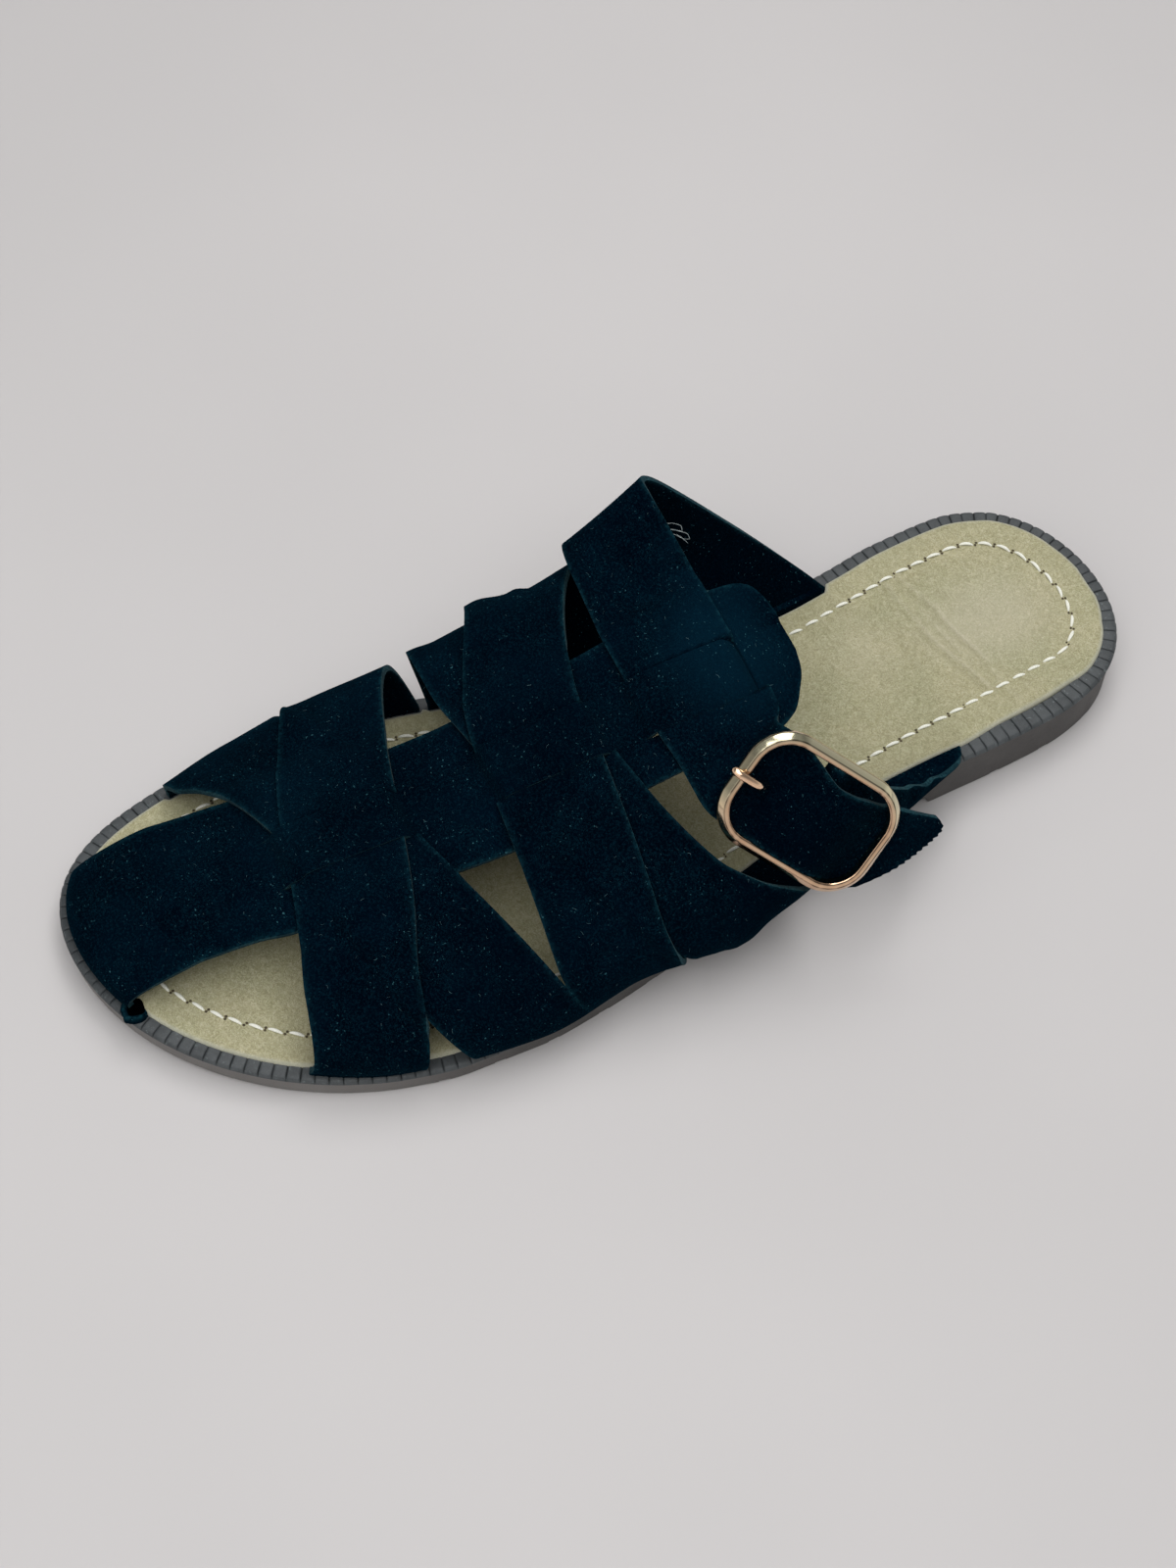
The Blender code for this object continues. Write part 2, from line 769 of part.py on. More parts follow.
def make_insole(parts):
    """Footbed let into the sole, with a soft edge and a dished top."""
    depths = ((INSOLE_INSET, -INSOLE_DEPTH), (INSOLE_INSET, INSOLE_RISE - 0.5))
    rings = [sole_ring(inset, at_height(shift)) for inset, shift in depths]
    edge = sole_ring(INSOLE_INSET + 0.4, at_height(INSOLE_RISE))
    bm = bmesh.new()
    loops = loft(bm, rings + [edge])
    ladder(bm, loops[0])
    half = len(edge) // 2
    rows = [[loops[-1][0]]]
    for i in range(1, half):
        a, b = edge[i], edge[-i]
        row = [loops[-1][i]]
        for across in (-0.75, -0.4, 0.0, 0.4, 0.75):
            x = a[0] + (b[0] - a[0]) * (across + 1) / 2
            row.append(bm.verts.new(to_world((x, a[1], footbed_height(a[1], across)))))
        rows.append(row + [loops[-1][-i]])
    rows.append([loops[-1][half]])
    for first, second in zip(rows[:-1], rows[1:]):
        for j in range(max(len(first), len(second)) - 1):
            bm.faces.new(quad_or_fan(first, second, j))
    bmesh.ops.recalc_face_normals(bm, faces=bm.faces)
    return new_object("insole", mesh_from("insole", bm), parts)


def make_strap(name, table, layer, group):
    strap = new_object(name, sheet_mesh(name, strap_grid(table, layer)), group)
    thicken(strap, SUEDE)
    return helper(baked(strap))


def make_strap_room(name, table, layer, group):
    """Room that a strap's two ends need in the footbed and the welt."""
    grid = strap_grid(table, layer, widen=GAP, tuck=RECESS_DEPTH + 1.0)
    room = new_object(name, sheet_mesh(name, grid), group)
    thicken(room, SUEDE + 2 * GAP)
    return helper(baked(room))


def make_fold_room(name, grid, thickness, group):
    """Room for the first rows of a strap, from below the footbed up its wall."""
    rows = [row.copy() for row in grid[:9]]
    for row in rows:
        step = row[-1, 1] - row[0, 1]
        row[0, 1] -= math.copysign(GAP, step)
        row[-1, 1] += math.copysign(GAP, step)
    rows[0][:, 2] = sole_top(rows[0][:, 1]) - RECESS_DEPTH - 1.0
    room = new_object(name, sheet_mesh(name, rows), group)
    thicken(room, thickness + 2 * GAP)
    return helper(baked(room))


def make_vamp(group):
    """Lengthwise strap: one sheet from tab to toe, slit where it passes over others."""
    bm = bmesh.new()
    rows = []
    for s in vamp_rows():
        lift, opening = bridge(s)
        left, middle, right = vamp_lines(s)
        if opening > 0:
            left = np.linspace(left[0], left[-1] - 0.3 * opening, 4)
            right = np.linspace(right[0] + 0.3 * opening, right[-1], 4)
            middle = np.linspace(middle[0] + 0.15 * opening, middle[-1] - 0.15 * opening, 5)
        strips = []
        for x, height in ((left, 0.0), (middle, lift), (right, 0.0)):
            strips.append([bm.verts.new(to_world(p)) for p in on_last(x, s, height)])
        if opening <= 0:
            for kept, extra in ((strips[0], strips[1]), (strips[1], strips[2])):
                bmesh.ops.weld_verts(bm, targetmap={extra[0]: kept[-1]})
                extra[0] = kept[-1]
        rows.append(strips)
    lines = vamp_lines(TOE_START)
    lines = np.concatenate([lines[0], lines[1][1:], lines[2][1:]])
    last = rows[-1][0] + rows[-1][1][1:] + rows[-1][2][1:]
    for first, second in zip(rows[:-1], rows[1:]):
        for a, b in zip(first, second):
            for i in range(len(a) - 1):
                bm.faces.new((a[i], a[i + 1], b[i + 1], b[i]))
    for row in toe_rows(lines):
        verts = [bm.verts.new(to_world(p)) for p in row]
        for i in range(len(verts) - 1):
            bm.faces.new((last[i], last[i + 1], verts[i + 1], verts[i]))
        last = verts
    vamp = new_object("vamp_strap", mesh_from("vamp_strap", bm), group)
    thicken(vamp, SUEDE)
    return helper(baked(vamp))


def make_toe_room(group):
    """Room that the lengthwise strap's toe end needs in the footbed and the welt."""
    x = np.linspace(TOE_SIDES[0] - GAP, TOE_SIDES[1] + GAP, 12)
    edge = toe_edge(x)
    low = edge.copy()
    low[:, 2] -= RECESS_DEPTH + 2.0
    high = edge + np.array([0.0, 0.6, 1.0]) * 1.5
    room = new_object("toe_room", sheet_mesh("toe_room", [low, edge, high]), group)
    thicken(room, SUEDE + 3 * GAP)
    return helper(baked(room))


def make_upper(parts, helpers):
    """All the straps that make the upper, joined where they cross."""
    upper = make_vamp(helpers)
    upper.name = "upper"
    upper.hide_render = False
    upper.display_type = "TEXTURED"
    helpers.objects.unlink(upper)
    parts.objects.link(upper)
    straps = (
        make_strap("front_under", FRONT_UNDER, 1, helpers),
        make_strap("front_over", FRONT_OVER, 2, helpers),
        make_strap("rear_under", REAR_UNDER, 1, helpers),
        make_strap("rear_over", REAR_OVER, 2, helpers),
    )
    instep = new_object("instep", sheet_mesh("instep", instep_grid()), helpers)
    thicken(instep, SUEDE)
    helper(baked(instep))
    for strap in straps + (instep,):
        boolean(upper, strap, "UNION")
    prong_room = helper(prong_tube("prong_room", PRONG_RADIUS + 0.45, helpers))
    boolean(upper, prong_room, "DIFFERENCE")
    return drop_crumbs(baked(upper))


def make_carrier(parts):
    """Short strap folded round the buckle's centre bar."""
    mesh = sheet_mesh("buckle_strap", carrier_grid())
    strap = new_object("buckle_strap", mesh, parts)
    thicken(strap, CARRIER_THICK)
    return baked(strap)


def rounded_rectangle(length, width, corner):
    """Points of a rectangle with round corners, anticlockwise."""
    points = []
    for quarter, (sx, sy) in enumerate(((1, 1), (-1, 1), (-1, -1), (1, -1))):
        for step in range(7):
            turn = (quarter + step / 6) * math.pi / 2
            x = sx * (length / 2 - corner) + corner * math.cos(turn)
            y = sy * (width / 2 - corner) + corner * math.sin(turn)
            points.append((x, y))
    return points


def buckle_matrix():
    along, across, up = buckle_axes()
    turn = Matrix((along, across, up)).transposed().to_4x4()
    return Matrix.Translation(to_world(FRAME_CENTRE)) @ turn


def make_frame(parts, helpers):
    """Rounded square frame with its centre bar."""
    curve = bpy.data.curves.new("buckle_frame", "CURVE")
    curve.dimensions = "2D"
    curve.fill_mode = "BOTH"
    curve.extrude = FRAME_DEPTH / 2 * MM
    inner = 2 * FRAME_FACE
    sizes = (
        (FRAME_LONG, FRAME_WIDE, FRAME_CORNER),
        (FRAME_LONG - inner, FRAME_WIDE - inner, FRAME_CORNER - FRAME_FACE),
    )
    for length, width, corner in sizes:
        points = rounded_rectangle(length, width, corner)
        spline = curve.splines.new("POLY")
        spline.points.add(len(points) - 1)
        for point, (x, y) in zip(spline.points, points):
            point.co = (x * MM, y * MM, 0.0, 1.0)
        spline.use_cyclic_u = True
    flat = bpy.data.objects.new("frame_outline", curve)
    helpers.objects.link(flat)
    bpy.context.view_layer.update()
    graph = bpy.context.evaluated_depsgraph_get()
    mesh = bpy.data.meshes.new_from_object(flat.evaluated_get(graph))
    bpy.data.objects.remove(flat)
    bm = bmesh.new()
    bm.from_mesh(mesh)
    bmesh.ops.remove_doubles(bm, verts=bm.verts, dist=1e-6)
    bm.to_mesh(mesh)
    bm.free()
    frame = new_object("buckle_frame", mesh, parts)
    frame.matrix_world = buckle_matrix()
    edge = frame.modifiers.new("Edge", "BEVEL")
    edge.width = 0.7 * MM
    edge.segments = 2
    edge.limit_method = "ANGLE"
    edge.angle_limit = math.radians(60)
    bar_length = FRAME_WIDE - FRAME_FACE
    bpy.ops.mesh.primitive_cylinder_add(
        vertices=16, radius=BAR_RADIUS * MM, depth=bar_length * MM
    )
    bar = bpy.context.active_object
    bar.name = "centre_bar"
    for old in bar.users_collection:
        old.objects.unlink(bar)
    helpers.objects.link(bar)
    lay = Matrix.Translation((0, 0, -BAR_DROP * MM)) @ Matrix.Rotation(math.pi / 2, 4, "X")
    bar.matrix_world = buckle_matrix() @ lay
    boolean(frame, helper(bar), "UNION")
    return frame


def prong_tube(name, radius, group):
    """Round wire along the prong's route."""
    curve = bpy.data.curves.new(name, "CURVE")
    curve.dimensions = "3D"
    curve.bevel_depth = radius * MM
    curve.bevel_resolution = 2
    curve.use_fill_caps = True
    points = route([(along, 0.0, up) for along, up in PRONG], 22)
    spline = curve.splines.new("POLY")
    spline.points.add(len(points) - 1)
    for point, (x, y, z) in zip(spline.points, points):
        point.co = (x * MM, y * MM, z * MM, 1.0)
    tube = bpy.data.objects.new(name, curve)
    group.objects.link(tube)
    bpy.context.view_layer.update()
    graph = bpy.context.evaluated_depsgraph_get()
    mesh = bpy.data.meshes.new_from_object(tube.evaluated_get(graph))
    bpy.data.objects.remove(tube)
    bm = bmesh.new()
    bm.from_mesh(mesh)
    bmesh.ops.remove_doubles(bm, verts=bm.verts, dist=1e-6)
    bmesh.ops.recalc_face_normals(bm, faces=bm.faces)
    bm.to_mesh(mesh)
    bm.free()
    obj = new_object(name, mesh, group)
    obj.matrix_world = buckle_matrix()
    return obj


def make_slot_cutter(helpers):
    """Slot through the buckle strap's fold, for the prong."""
    bpy.ops.mesh.primitive_cube_add(size=1.0)
    box = bpy.context.active_object
    box.name = "fold_slot"
    for old in box.users_collection:
        old.objects.unlink(box)
    helpers.objects.link(box)
    size = (LOOP_SLOT[0] * MM, LOOP_SLOT[1] * MM, 9.0 * MM)
    box.data.transform(Matrix.Diagonal((*size, 1.0)))
    shift = Matrix.Translation((-0.7 * MM, 0, -1.0 * MM))
    box.matrix_world = buckle_matrix() @ shift
    return helper(box)


def main():
    for obj in list(bpy.data.objects):
        bpy.data.objects.remove(obj)
    parts = new_collection(COLLECTION)
    helpers = new_collection("helpers", hidden=True)

    outsole = make_outsole(parts, helpers)
    welt = make_welt(parts)
    insole = make_insole(parts)
    upper = make_upper(parts, helpers)
    carrier = make_carrier(parts)
    frame = make_frame(parts, helpers)
    prong = prong_tube("buckle_prong", PRONG_RADIUS, parts)

    rooms = [
        make_strap_room("front_under_room", FRONT_UNDER, 1, helpers),
        make_strap_room("front_over_room", FRONT_OVER, 2, helpers),
        make_strap_room("rear_under_room", REAR_UNDER, 1, helpers),
        make_strap_room("rear_over_room", REAR_OVER, 2, helpers),
        make_fold_room("instep_room", instep_grid(), SUEDE, helpers),
        make_fold_room("carrier_room", carrier_grid(), CARRIER_THICK, helpers),
        make_toe_room(helpers),
    ]
    for room in rooms:
        boolean(insole, room, "DIFFERENCE")
    boolean(carrier, make_slot_cutter(helpers), "DIFFERENCE")

    suede = material("teal_suede", (0.004, 0.024, 0.038), 0.95)
    strap_suede = material("teal_suede_strap", (0.004, 0.024, 0.038), 0.95)
    finish(outsole, material("taupe_rubber", (0.100, 0.094, 0.090), 0.7))
    finish(welt, material("slate_rubber", (0.075, 0.088, 0.094), 0.65))
    finish(insole, material("beige_nubuck", (0.46, 0.43, 0.30), 0.9))
    finish(upper, suede)
    finish(carrier, strap_suede)
    finish(frame, material("rose_gold", (0.80, 0.58, 0.38), 0.15, 1.0))
    finish(prong, material("rose_gold_prong", (0.80, 0.58, 0.38), 0.15, 1.0))


main()
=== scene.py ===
"""Looks of the left woven suede mule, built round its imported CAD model.

Lengths are in millimetres and are scaled to metres as each mesh is made. Along the
shoe, s runs from the heel end to the toe. The lateral side is +X and the toe is -Y.
"""

import functools
import math
import random

import bmesh
import bpy
import numpy as np
from mathutils import Matrix, Vector


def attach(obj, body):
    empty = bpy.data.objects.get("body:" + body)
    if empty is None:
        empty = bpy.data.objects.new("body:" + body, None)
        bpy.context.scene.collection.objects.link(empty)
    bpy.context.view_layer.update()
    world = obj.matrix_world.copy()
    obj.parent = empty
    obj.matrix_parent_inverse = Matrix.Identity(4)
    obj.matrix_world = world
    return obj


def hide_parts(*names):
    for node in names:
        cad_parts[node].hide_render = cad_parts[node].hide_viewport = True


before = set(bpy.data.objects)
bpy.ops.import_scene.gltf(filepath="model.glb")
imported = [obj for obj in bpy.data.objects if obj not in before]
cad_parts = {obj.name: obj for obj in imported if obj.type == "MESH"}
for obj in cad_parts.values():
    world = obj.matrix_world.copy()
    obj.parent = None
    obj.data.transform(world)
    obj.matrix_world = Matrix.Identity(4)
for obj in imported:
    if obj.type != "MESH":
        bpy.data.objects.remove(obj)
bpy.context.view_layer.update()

MM = 0.001

# Camera and light
CAMERA_AT = (279.8, -140.5, 509.5)
CAMERA_AIM = (-3.4, -7.9, 15.0)
CAMERA_ROLL = 1.56
CAMERA_LENS = 78.1
# Lights: name, place in mm, height of the point that it faces, size, power, colour.
LIGHTS = (
    ("key", (-380, 330, 960), 0, 0.55, 3.6, (1.0, 0.98, 0.965)),
    ("overhead", (180, -60, 900), 10, 0.8, 4.35, (1.0, 0.99, 0.98)),
    ("toe_side", (330, -520, 620), 10, 0.9, 1.8, (1.0, 0.99, 0.98)),
)
# Brightness of the surroundings: how far up, red, green, blue.
WORLD_LEVELS = (
    (0.0, 0.92, 0.88, 0.84),
    (0.30, 0.55, 0.54, 0.53),
    (0.62, 0.20, 0.20, 0.20),
    (1.0, 0.42, 0.42, 0.42),
)

# Sole
LENGTH = 260.0
MIDDLE_X = 8.7
HEEL_HEIGHT = 14.3
FOREFOOT_HEIGHT = 6.5
TOE_SPRING = 2.3
BREAST = 62.0
BALL_START = 134.0
WAIST_LIFT = 3.0
# Where the sole thins in front of the heel, where it springs up at the toe, above and
# underneath, and where its waist ends: s of the start, length.
THINNING = (60.0, 105.0)
TOP_SPRING = (195.0, 65.0)
UNDER_SPRING = (202.0, 58.0)
WAIST_END = (BALL_START, -62.0)
WALL_INSET = 0.5
EDGE_ROUND = 0.9
WELT_THICK = 1.2
RECESS_INSET = 3.2
RECESS_DEPTH = 3.7
INSOLE_DEPTH = 3.4
INSOLE_RISE = 0.8
HEEL_DISH = 1.6
BALL_DISH = 0.6
GROOVE_WIDTH = 2.6
GROOVE_DEPTH = 1.0
HEEL_GROOVES = (16.0, 30.0, 44.0)
BALL_GROOVES = (142.0, 155.0, 168.0, 181.0, 194.0)

# Straps
SUEDE = 1.5
EDGE_RUB = 0.7
LAYER = 1.55
BASE_LAYER = 0.15
BASE_NEAR = 1.0
BASE_FAR = 5.0
BASE_RISE = 1.2
TUCK = 2.7
# How far to each side the last faces up, as a part of u, and where its toe turns round.
UP_LIMIT = 0.85
TOE_ROUND = 225.0
# Distance between the middle lines of a strap and of the one right above it.
SUEDE_CLEAR = 1.02 * LAYER

# Buckle
FRAME_LONG = 39.0
FRAME_WIDE = 28.8
FRAME_CORNER = 10.0
# Section of the frame, outward from its middle line and up.
FRAME_SECTION = (
    (-1.0, -1.2),
    (-1.0, 1.35),
    (-0.7, 1.65),
    (0.35, 1.65),
    (1.6, 0.25),
    (1.6, -1.0),
    (1.1, -1.55),
    (-0.6, -1.55),
)
FRAME_ROUND = 0.27
ARC_POINTS = 5
# Painted reflections on the frame: how dark the line along each of its corners is, and how pale
# the bevel beside it.
FRAME_DARK_REFLECTIONS = (0.2, 0.6, 0.9, 1.0, 1.0, 0.3, 0.2, 0.2)
FRAME_BEVEL_GLINTS = (0.0, 0.0, 0.0, 0.5, 0.5, 0.0, 0.0, 0.0)
FRAME_CENTRE = (45.8, 104.0, 41.1)
FRAME_ALONG = (0.54, 0.66, -0.52)
FRAME_UP = (0.79, -0.19, 0.58)
BAR_RADIUS = 1.0
BAR_DROP = 1.0
PRONG_RADIUS = 1.0

# Sole edge seen from above: s, medial x, lateral x.
OUTLINE = (
    (0.0, 0.0, 0.0),
    (2.0, -12.3, 11.6),
    (5.0, -19.1, 17.5),
    (10.0, -25.5, 22.9),
    (16.0, -29.8, 26.7),
    (28.0, -32.8, 30.5),
    (46.0, -31.4, 32.6),
    (60.0, -28.6, 33.6),
    (76.0, -26.0, 35.4),
    (92.0, -25.1, 38.2),
    (108.0, -26.1, 41.9),
    (124.0, -28.8, 46.3),
    (140.0, -32.5, 50.6),
    (156.0, -36.4, 54.1),
    (172.0, -39.5, 56.2),
    (188.0, -41.4, 56.2),
    (202.0, -41.5, 54.1),
    (214.0, -40.4, 50.4),
    (226.0, -38.1, 44.6),
    (236.0, -35.1, 37.7),
    (244.0, -31.6, 30.3),
    (250.0, -27.6, 22.9),
    (255.0, -22.4, 14.3),
    (258.0, -17.0, 6.6),
    (260.0, -6.0, -6.0),
)

# Cross-sections of the last. On each side a curve runs from the ridge, by the
# shoulder and the wall, to the footbed's edge.
# s, ridge x, z, medial shoulder x, z, medial wall x, z, lateral shoulder x, z, wall x, z.
LAST = (
    (60, 2, 50.0, -30, 60.0, -40, 26, 40, 50, 56, 22),
    (90, 4, 50.0, -36, 66.0, -47, 44, 46, 52, 64, 24),
    (105, 4, 50.5, -38, 60.0, -50, 51, 46, 53, 68.5, 17),
    (120, 4, 48.0, -38, 53.0, -48, 43, 44, 51, 75.5, 13),
    (135, 4, 42.8, -37, 46.0, -46, 38, 42, 47, 72, 14),
    (150, 4, 38.0, -36, 41.0, -45, 31, 42, 42, 66, 16),
    (170, 5, 33.0, -37, 31.5, -44, 24, 44, 36, 67, 12),
    (190, 6, 29.0, -37, 27.0, -44, 19, 44, 33, 62.5, 12),
    (210, 5, 25.8, -35, 22.5, -42, 12, 40, 29, 54, 14),
    (228, 2, 22.3, -30, 18.5, -36, 11, 32, 24, 44, 13),
    (240, -1, 19.8, -24, 18.5, -31, 12, 22, 21, 34, 12),
    (256, -4, 11.5, -11, 12.0, -15, 11, 2, 12, 6, 11),
)

# Distance from the sole's edge at which straps come down: s, medial, lateral.
STRAP_BASE = (
    (50.0, 4.3, 2.6),
    (76.0, 4.3, 3.0),
    (96.0, 4.3, 4.3),
    (122.0, 4.1, 4.2),
    (128.0, 4.0, 3.3),
    (134.0, 3.9, 4.4),
    (141.0, 3.8, 3.3),
    (152.0, 3.6, 2.8),
    (164.0, 3.5, 2.0),
    (205.0, 3.4, 1.9),
    (225.0, 3.4, 2.6),
    (260.0, 3.4, 2.6),
)

# Straps that cross the foot. u runs from -1 at the medial edge, by 0 on the ridge,
# to 1 at the lateral edge: u, s of the front edge, s of the rear edge.
FRONT_UNDER = (
    (-1.0, 226.5, 202.0),
    (-0.75, 226.8, 199.0),
    (-0.52, 225.5, 196.0),
    (-0.36, 220.0, 192.0),
    (-0.12, 211.5, 187.0),
    (0.0, 207.5, 183.5),
    (0.5, 196.0, 167.0),
    (0.86, 187.5, 159.5),
    (1.0, 185.5, 157.5),
)
FRONT_OVER = (
    (-1.0, 191.0, 164.0),
    (-0.5, 196.5, 172.0),
    (0.0, 209.5, 183.0),
    (0.15, 212.5, 186.8),
    (0.4, 217.0, 193.3),
    (1.0, 221.0, 198.5),
)
REAR_UNDER = (
    (-1.0, 162.0, 137.0),
    (-0.55, 165.0, 138.0),
    (-0.25, 165.5, 139.0),
    (0.0, 161.5, 138.0),
    (0.2, 157.0, 134.0),
    (0.42, 149.0, 125.3),
    (0.52, 145.0, 118.0),
    (0.66, 140.0, 109.0),
    (0.8, 134.0, 104.0),
    (1.0, 127.0, 101.0),
)
REAR_OVER = (
    (-1.0, 146.0, 108.0),
    (-0.5, 149.5, 124.5),
    (0.0, 163.0, 138.0),
    (0.5, 165.0, 140.5),
    (1.0, 158.0, 133.0),
)

# Lengthwise strap: s, x of the medial edge, medial slit, lateral slit, lateral edge.
VAMP = (
    (91.2, 1.5, 4.5, 8.5, 11.5),
    (92.3, -2.5, 3.5, 10.5, 16.5),
    (94.5, -6.4, 2.5, 13.0, 20.6),
    (98.0, -8.0, 3.0, 17.0, 25.3),
    (104.0, -8.6, 4.0, 19.0, 27.7),
    (130.0, -9.4, 2.3, 17.0, 26.8),
    (165.0, -10.8, 0.0, 14.3, 25.2),
    (182.0, -12.3, -1.0, 12.8, 23.6),
    (214.0, -17.9, -3.1, 10.5, 21.0),
    (222.0, -19.7, -3.6, 9.8, 18.8),
    (235.0, -21.6, -4.5, 8.8, 16.8),
)
# Slits of the lengthwise strap, where its middle passes over the others: s of their ends.
SLITS = ((103.0, 130.0), (136.0, 164.0), (181.8, 213.5))
TOE_START = 235.0
TOE_INSET = 2.7
TOE_SIDES = (-20.6, 15.2)

# Instep strap, up from the medial base, over the foot to the buckle:
# front x, s, z, rear x, s, z.
INSTEP = (
    (-24.5, 108.0, 22.0, -26.5, 68.0, 21.0),
    (-35.0, 113.0, 32.0, -33.5, 84.0, 38.0),
    (-38.5, 123.0, 43.4, -38.5, 103.0, 58.5),
    (-35.5, 126.5, 48.3, -36.0, 107.0, 62.6),
    (-24.0, 128.0, 49.0, -25.5, 105.5, 58.5),
    (-10.0, 128.5, 47.6, -8.0, 104.0, 54.0),
    (4.0, 128.5, 48.0, 2.5, 103.3, 52.2),
    (16.0, 127.5, 47.2, 15.0, 101.0, 51.4),
    (25.0, 126.0, 45.5, 23.0, 101.2, 50.8),
)
INSTEP_BASE = (102.0, 63.0)
# Its front and rear edges seen from above: x, s.
INSTEP_FRONT = ((-24, 128), (-10, 128.5), (4, 128.5), (16, 127.5), (25, 126), (36, 124.3))
INSTEP_REAR = ((-25, 105.5), (-8, 104), (3, 103.3), (15, 101), (23, 101.2), (28, 102.0))
# Its end in the buckle's own axes: along, across and up, of the front edge, then of
# the rear edge.
INSTEP_TAIL = (
    (-19.8, -11.4, -2.9, -15.0, 12.9, -5.0),
    (-13.2, -12.3, -2.6, -10.8, 12.6, -3.1),
    (-7.6, -11.8, 0.7, -5.4, 11.0, 0.6),
    (0.0, -11.7, 2.5, 1.0, 8.7, 2.4),
    (7.6, -11.6, 1.2, 9.0, 9.2, 1.2),
    (12.8, -11.6, -2.6, 14.8, 9.6, -2.7),
    (17.0, -11.4, -2.9, 20.5, 11.2, -3.1),
    (20.9, -9.6, -3.8, 27.8, 13.0, -5.2),
)

# Buckle strap, up from the lateral base: front x, s, z, rear x, s, z.
CARRIER = (
    (38.6, 76.5, 14.6, 32.6, 55.6, 15.4),
    (42.6, 78.5, 16.8, 36.0, 60.4, 17.4),
    (44.2, 81.5, 20.6, 38.2, 66.6, 20.2),
    (46.2, 89.0, 26.0, 40.4, 74.8, 25.2),
)
CARRIER_BASE = (76.0, 54.8)
# Its loop round the centre bar in the buckle's own axes: along, up, half width.
CARRIER_LOOP = (
    (9.0, -4.2, 11.5),
    (4.0, -3.6, 11.7),
    (1.0, -2.95, 11.8),
    (-0.9, -2.65, 11.8),
    (-1.85, -1.65, 11.8),
    (-1.85, -0.35, 11.8),
    (-0.9, 0.65, 11.8),
    (0.6, 0.85, 11.8),
    (1.9, -0.05, 11.8),
    (3.6, -1.35, 11.8),
    (6.0, -1.9, 11.7),
    (11.0, -2.4, 11.4),
)
CARRIER_THICK = 1.2

# Prong in the buckle's own axes: along, up. It goes round the bar, comes up through
# the strap and rests on the frame's near side.
PRONG = (
    (1.9, 0.2),
    (2.2, -1.2),
    (1.6, -2.6),
    (0.1, -3.25),
    (-1.4, -2.8),
    (-3.2, -2.0),
    (-5.5, -2.0),
    (-8.0, -2.4),
    (-10.4, -2.4),
    (-11.8, -1.2),
    (-12.7, 0.6),
    (-13.6, 2.0),
    (-15.2, 2.85),
    (-17.4, 2.95),
    (-19.2, 2.9),
    (-20.3, 2.4),
    (-20.8, 1.5),
)


def ease(t):
    """Rise from 0 to 1 with level ends."""
    t = np.clip(t, 0.0, 1.0)
    return t * t * (3.0 - 2.0 * t)


def part_of(s, stretch):
    """How far along a stretch s lies: 0 at its start, 1 at its end."""
    start, length = stretch
    return (s - start) / length


def between(keys, values, at):
    """Smooth value through a table's column, with no overshoot."""
    keys = np.asarray(keys, float)
    values = np.asarray(values, float)
    steps = np.diff(keys)
    slopes = np.diff(values) / steps
    tangents = np.zeros(len(keys))
    tangents[0] = slopes[0]
    tangents[-1] = slopes[-1]
    for i in range(1, len(keys) - 1):
        if slopes[i - 1] * slopes[i] > 0:
            tangents[i] = 2.0 / (1.0 / slopes[i - 1] + 1.0 / slopes[i])
    at = np.clip(at, keys[0], keys[-1])
    i = np.clip(np.searchsorted(keys, at, side="right") - 1, 0, len(steps) - 1)
    t = (at - keys[i]) / steps[i]
    start = (1 + 2 * t) * (1 - t) ** 2 * values[i]
    end = t * t * (3 - 2 * t) * values[i + 1]
    lean = t * (1 - t) ** 2 * tangents[i] - t * t * (1 - t) * tangents[i + 1]
    return start + end + lean * steps[i]


def column(table, number, at):
    """Smooth value of one column of a table, keyed by its first column."""
    return between([row[0] for row in table], [row[number] for row in table], at)


def bezier(t, *points):
    """Cubic curve's value at t."""
    a, b, c, d = points
    return (1 - t) ** 3 * a + 3 * t * (1 - t) ** 2 * b + 3 * t * t * (1 - t) * c + t**3 * d


def unit(vectors):
    """Vectors brought to length 1."""
    return vectors / np.linalg.norm(vectors, axis=-1, keepdims=True)


def running(steps):
    """Sums of the steps so far, from 0."""
    return np.concatenate([[0.0], np.cumsum(steps)])


def length_along(*columns):
    """Length along a line at each of its points, from 0."""
    return running(np.linalg.norm(np.diff(columns, axis=1), axis=0))


def blurred(values, passes=1):
    """A closed loop of values, averaged with their neighbours."""
    for _ in range(passes):
        values = (np.roll(values, 1, axis=0) + 2 * values + np.roll(values, -1, axis=0)) / 4
    return values


def inward(x, s):
    """Directions into a closed loop at its points: x, s."""
    dx = np.roll(x, -1) - np.roll(x, 1)
    ds = np.roll(s, -1) - np.roll(s, 1)
    size = np.hypot(dx, ds)
    return -ds / size, dx / size


def window(s, front, rear, soft):
    """1 between the rear and the front edge, falling to 0 over a margin outside them."""
    return ease((front + soft - s) / soft) * ease((s - rear + soft) / soft)


def route(points, count):
    """Points at even steps along a smooth curve through the given points."""
    points = np.asarray(points, float)
    keys = running(np.linalg.norm(np.diff(points, axis=0), axis=1) ** 0.5)
    at = np.linspace(0.0, keys[-1], count)
    return np.stack([between(keys, values, at) for values in points.T], axis=1)


# --- sole ---


def turn_of(s, start=0.0, end=LENGTH):
    """Angle that spaces points evenly round the sole's round ends."""
    return np.arccos(np.clip(1 - 2 * (np.asarray(s) - start) / (end - start), -1, 1))


